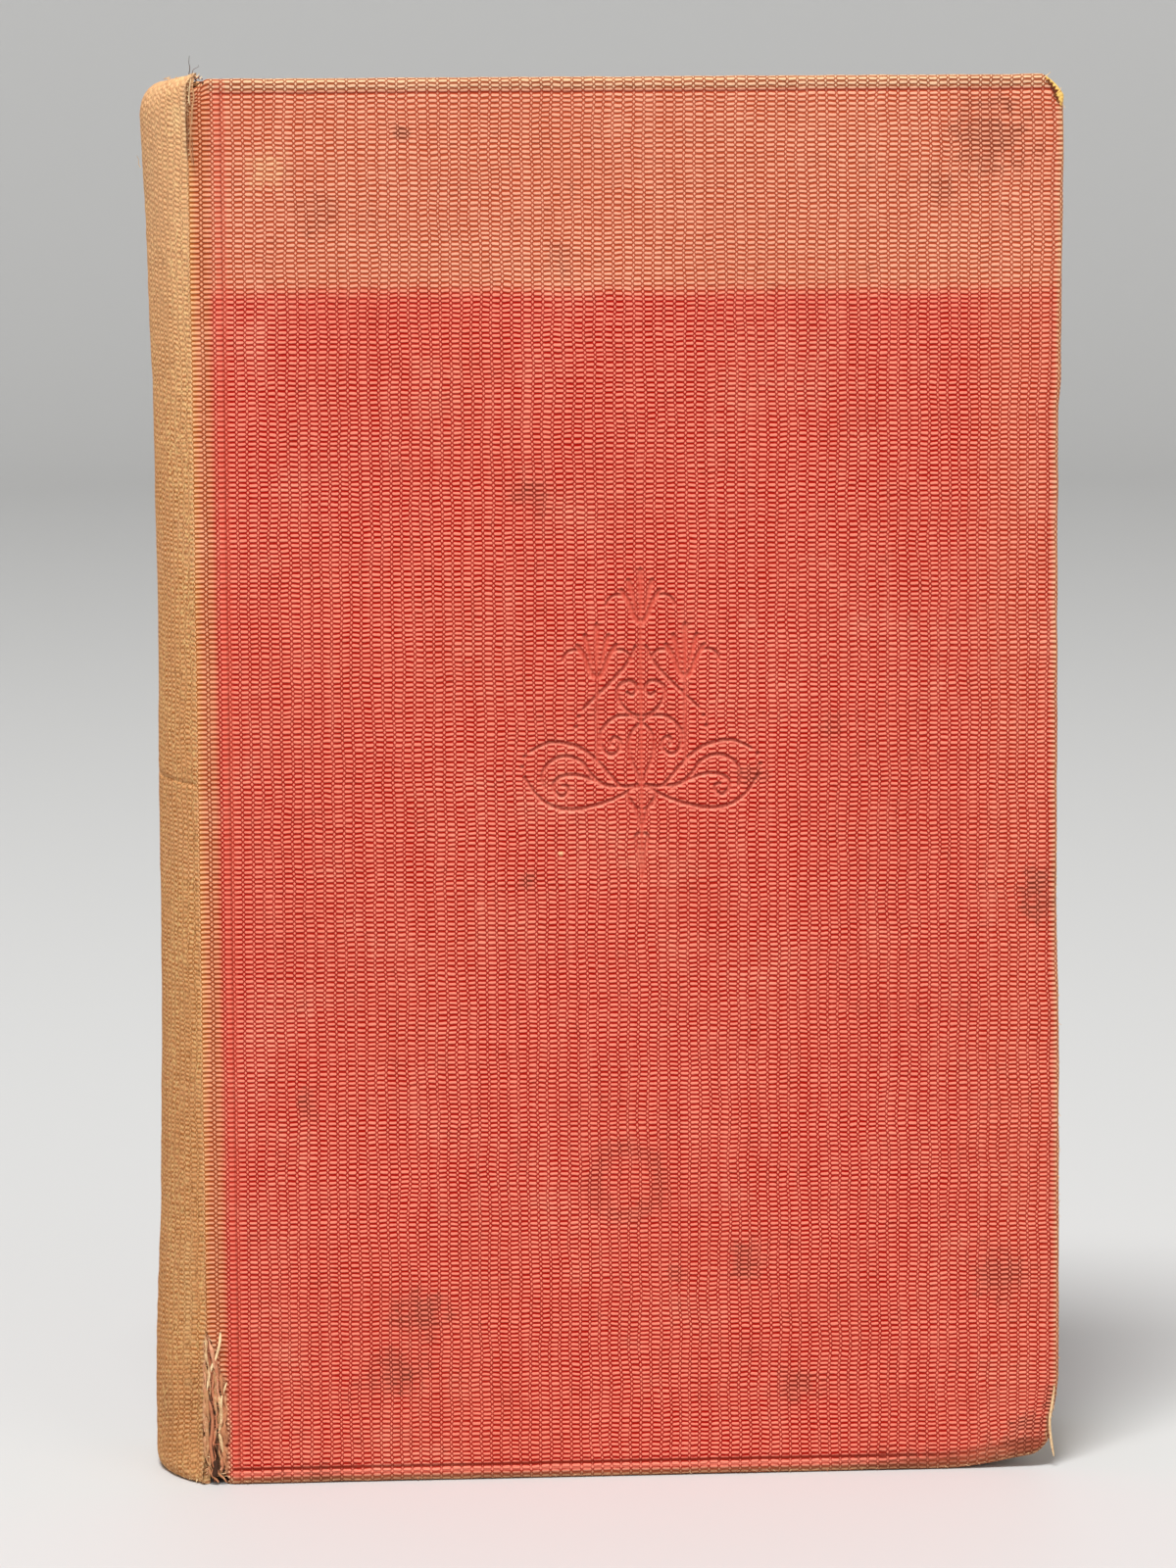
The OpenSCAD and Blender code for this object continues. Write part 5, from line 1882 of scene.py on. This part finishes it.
PAPER_EDGE = PaperEdge()
ENDPAPER = Finish("endpaper_toned", tone(224, 207, 170), tone(213, 193, 152), cloud=28.0, speckle=1600.0)
BOARD = Finish("straw_board", tone(222, 190, 128), tone(180, 140, 82), cloud=140.0, speckle=700.0, relief=0.08)
MULL = Finish("mull_cloth", tone(206, 178, 128), tone(150, 118, 76), cloud=300.0, speckle=1100.0, relief=0.08)
LINING = Finish("lining_paper_brown", tone(190, 160, 112), tone(154, 122, 80))
CARD = Finish("inlay_card_grey", tone(160, 138, 104), tone(128, 106, 76))
TORN_LINING = Finish("torn_lining", tone(158, 122, 92), tone(92, 62, 44), cloud=420.0, speckle=1500.0, relief=0.12)
JOINT_LINING = Strip(
    "joint_lining",
    [(-56.6, 12.0), (-56.0, 12.9), (-55.4, 13.55), (-54.8, 13.78), (-53.6, 13.8), (-52.6, 13.75), (-51.6, 14.2)],
    thick=-0.25, low=0.9, high=BOOK.height - 0.9, step=1.2, wave=0.06,
)
HINGE_PAPER = Strip(
    "hinge_endpaper",
    [(-53.62, 11.2), (-53.62, 12.3), (-53.5, 13.1), (-53.05, 13.3), (-52.6, 13.1), (-52.46, 12.4), (-52.46, 11.6)],
    thick=-0.15, low=3.2, high=BOOK.height - 3.2, step=8.0,
)

CAD_FINISHES = {
    "spine_mull": MULL, "front_mull_flange": MULL, "back_mull_flange": MULL,
    "spine_lining": LINING, "spine_inlay": CARD, "back_board": BOARD, "head_band": BAND, "tail_band": BAND,
    "front_flyleaf": ENDPAPER, "back_flyleaf": ENDPAPER, "front_pastedown": ENDPAPER, "back_pastedown": ENDPAPER,
}


# ---- the stage


@dataclass(frozen=True)
class Studio:
    """Camera at the photograph's angle, a soft light from above and a pale floor that sweeps up to a wall."""

    eye: tuple[float, float, float] = (-47.44, -734.97, 180.53)
    yaw: float = 3.554
    pitch: float = 6.725
    roll: float = -0.397
    focus_px: float = 5500.0
    image_h: float = 1600.0
    sensor: float = 36.0
    floor_r: float = 2200.0
    sweep: float = 500.0
    wall: float = 400.0
    floor_drop: float = 0.02

    def turned_to(self, right: Array, up: Array, back: Array, place: Array) -> Matrix:
        """Matrix that sets a thing's three axes and its place, in metres."""
        rows = np.eye(4)
        rows[:3] = np.stack([right, up, back, place], axis=1)
        return Matrix(rows.tolist())

    def camera(self) -> None:
        """Makes the camera from its fitted place and its three turns."""
        yaw, pitch, roll = (math.radians(v) for v in (self.yaw, self.pitch, self.roll))
        ahead = np.array([math.sin(yaw) * math.cos(pitch), math.cos(yaw) * math.cos(pitch), -math.sin(pitch)])
        level = np.array([math.cos(yaw), -math.sin(yaw), 0.0])
        above = np.cross(level, ahead)
        right = math.cos(roll) * level + math.sin(roll) * above
        up = math.cos(roll) * above - math.sin(roll) * level
        data = bpy.data.cameras.new("photo_camera")
        data.sensor_width = self.sensor
        data.lens = self.sensor * self.focus_px / self.image_h
        data.clip_start = 0.01
        camera = bpy.data.objects.new("photo_camera", data)
        camera.matrix_world = self.turned_to(right, up, -ahead, np.array(self.eye) * MM)
        bpy.context.scene.collection.objects.link(camera)
        bpy.context.scene.camera = camera

    def lamp(self, name: str, place: tuple[float, float, float], size: float, power: float) -> None:
        """Adds a square soft light that faces the middle of the book.

        Args:
            name: Name of the light.
            place: Where it stands, in metres.
            size: Its side, in metres.
            power: Its power, in watts.
        """
        data = bpy.data.lights.new(name, "AREA")
        data.size = size
        data.energy = power
        lamp = bpy.data.objects.new(name, data)
        spot = np.array(place)
        back = spot - np.array([0.0, 0.0, BOOK.middle * MM])
        back /= np.linalg.norm(back)
        side = np.cross([0.0, 0.0, 1.0], back)
        side /= np.linalg.norm(side)
        lamp.matrix_world = self.turned_to(side, np.cross(back, side), back, spot)
        bpy.context.scene.collection.objects.link(lamp)

    def world(self) -> None:
        """Even pale light from all round, and a paler ground behind the book for the camera's own rays."""
        world = bpy.data.worlds.new("soft_room")
        bpy.context.scene.world = world
        world.use_nodes = True
        draw = Nodes(world.node_tree)
        ray = draw.node("ShaderNodeLightPath")
        seen = draw.most(ray.outputs["Is Camera Ray"], ray.outputs["Is Glossy Ray"])
        ground = world.node_tree.nodes["Background"]
        draw.put(ground.inputs["Color"], draw.mix(seen, (1.0, 0.99, 0.97, 1.0), (0.83, 0.83, 0.82, 1.0)))
        draw.put(ground.inputs["Strength"], draw.scaled(seen, 0.66, 0.34))

    def floor(self) -> None:
        """A wide round floor that curves up into a low wall: a profile of radius and height, turned about the book."""
        curve = np.linspace(0.0, math.pi / 2, 13)
        end = self.floor_r + self.sweep
        radius = np.concatenate([[1.0, 300.0, 1200.0], self.floor_r + self.sweep * np.sin(curve), [end]])
        height = np.concatenate([[0.0, 0.0, 0.0], self.sweep * (1 - np.cos(curve)), [self.sweep + self.wall]])
        turn = np.linspace(0.0, 2.0 * math.pi, 97)
        draft = MeshDraft()
        level = height - self.floor_drop
        ground = columns(radius * np.cos(turn)[:, None], radius * np.sin(turn)[:, None], level)
        draft.add_cells(draft.add_points(ground)[::-1])
        floor = draft.build("pale_floor", weld=0.5)
        material = bpy.data.materials.new("pale_floor")
        material.use_nodes = True
        shader = material.node_tree.nodes["Principled BSDF"]
        shader.inputs["Base Color"].default_value = (0.6, 0.6, 0.595, 1.0)
        shader.inputs["Roughness"].default_value = 0.6
        floor.data.materials.append(material)
        floor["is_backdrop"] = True

    def build(self) -> None:
        """Sets the whole stage."""
        bpy.context.scene.view_settings.view_transform = "Standard"
        self.camera()
        self.lamp("key_above", (-0.4, -1.05, 2.45), 0.8, 78.0)
        self.lamp("fill_side", (1.2, -1.7, 0.75), 1.2, 8.0)
        self.world()
        self.floor()


def corners(box: tuple) -> list[list[float]]:
    """Two corners of a box as plain lists of numbers."""
    return [[float(v) for v in corner] for corner in box]


def dress_cover(cloth: CoverCloth) -> None:
    """Builds a cover's cloth and what bridges its joint, and hides the cloth of the CAD part.

    Args:
        cloth: The cover's cloth, which knows its side.
    """
    side = cloth.side
    name, level = side.name.lower(), side.value * BOOK.cover_y * MM
    start, end = (BOOK.ridge_x * MM, level, 0.095), (BOOK.board_x0 * MM, level, 0.095)
    piece = cloth.build()
    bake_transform(piece)
    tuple(start)
    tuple(end)
    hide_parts(f"{name}_cloth")
    LOG.info("%s: %d faces", piece.name, len(piece.data.polygons))
    lining = JOINT_LINING.build(side, TORN_LINING)
    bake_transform(lining)
    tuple(start)
    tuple(end)
    hinge = HINGE_PAPER.build(side, ENDPAPER)
    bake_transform(hinge)


def main() -> None:
    """Loads the frame, builds each sub-assembly and dresses what the CAD part keeps."""
    logging.basicConfig(level=logging.INFO, format="%(name)s: %(message)s")
    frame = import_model()
    cad_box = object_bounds()

    front = CoverCloth(Side.FRONT, stamped=True)
    dress_cover(front)
    dress_cover(CoverCloth(Side.BACK))

    torn = TornJoint(front)
    bands = torn.bands()
    level = -BOOK.cover_y * MM
    start, end = (BOOK.ridge_x * MM, level, 0.095), (BOOK.board_x0 * MM, level, 0.095)
    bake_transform(bands)
    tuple(start)
    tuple(end)
    for piece, body, slot in (
        (torn.cover_threads(), "front_cover", "red_cloth"),
        (torn.back_threads(), "block", "faded_cloth"),
        (BareCorner().build(), "front_cover", "board"),
    ):
        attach(piece, body)
        LOG.info("%s: %d faces", piece.name, len(piece.data.polygons))

    board = WornBoard().build()
    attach(board, "front_cover")
    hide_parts("front_board")

    for piece, node, slot in (
        (SpineCloth().build(), "spine_cloth", "faded_cloth"),
        (Leaves().build(), "text_block", "leaves"),
    ):
        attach(piece, "block")
        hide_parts(node)
        LOG.info("%s: %d faces", piece.name, len(piece.data.polygons))

    for node, finish in CAD_FINISHES.items():
        piece = frame["nodes"][node]
        piece.data.materials.clear()
        piece.data.materials.append(finish.material())

    Studio().build()
    {"cad": corners(cad_box), "visual": corners(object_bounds())}


if __name__ == "__main__":
    main()
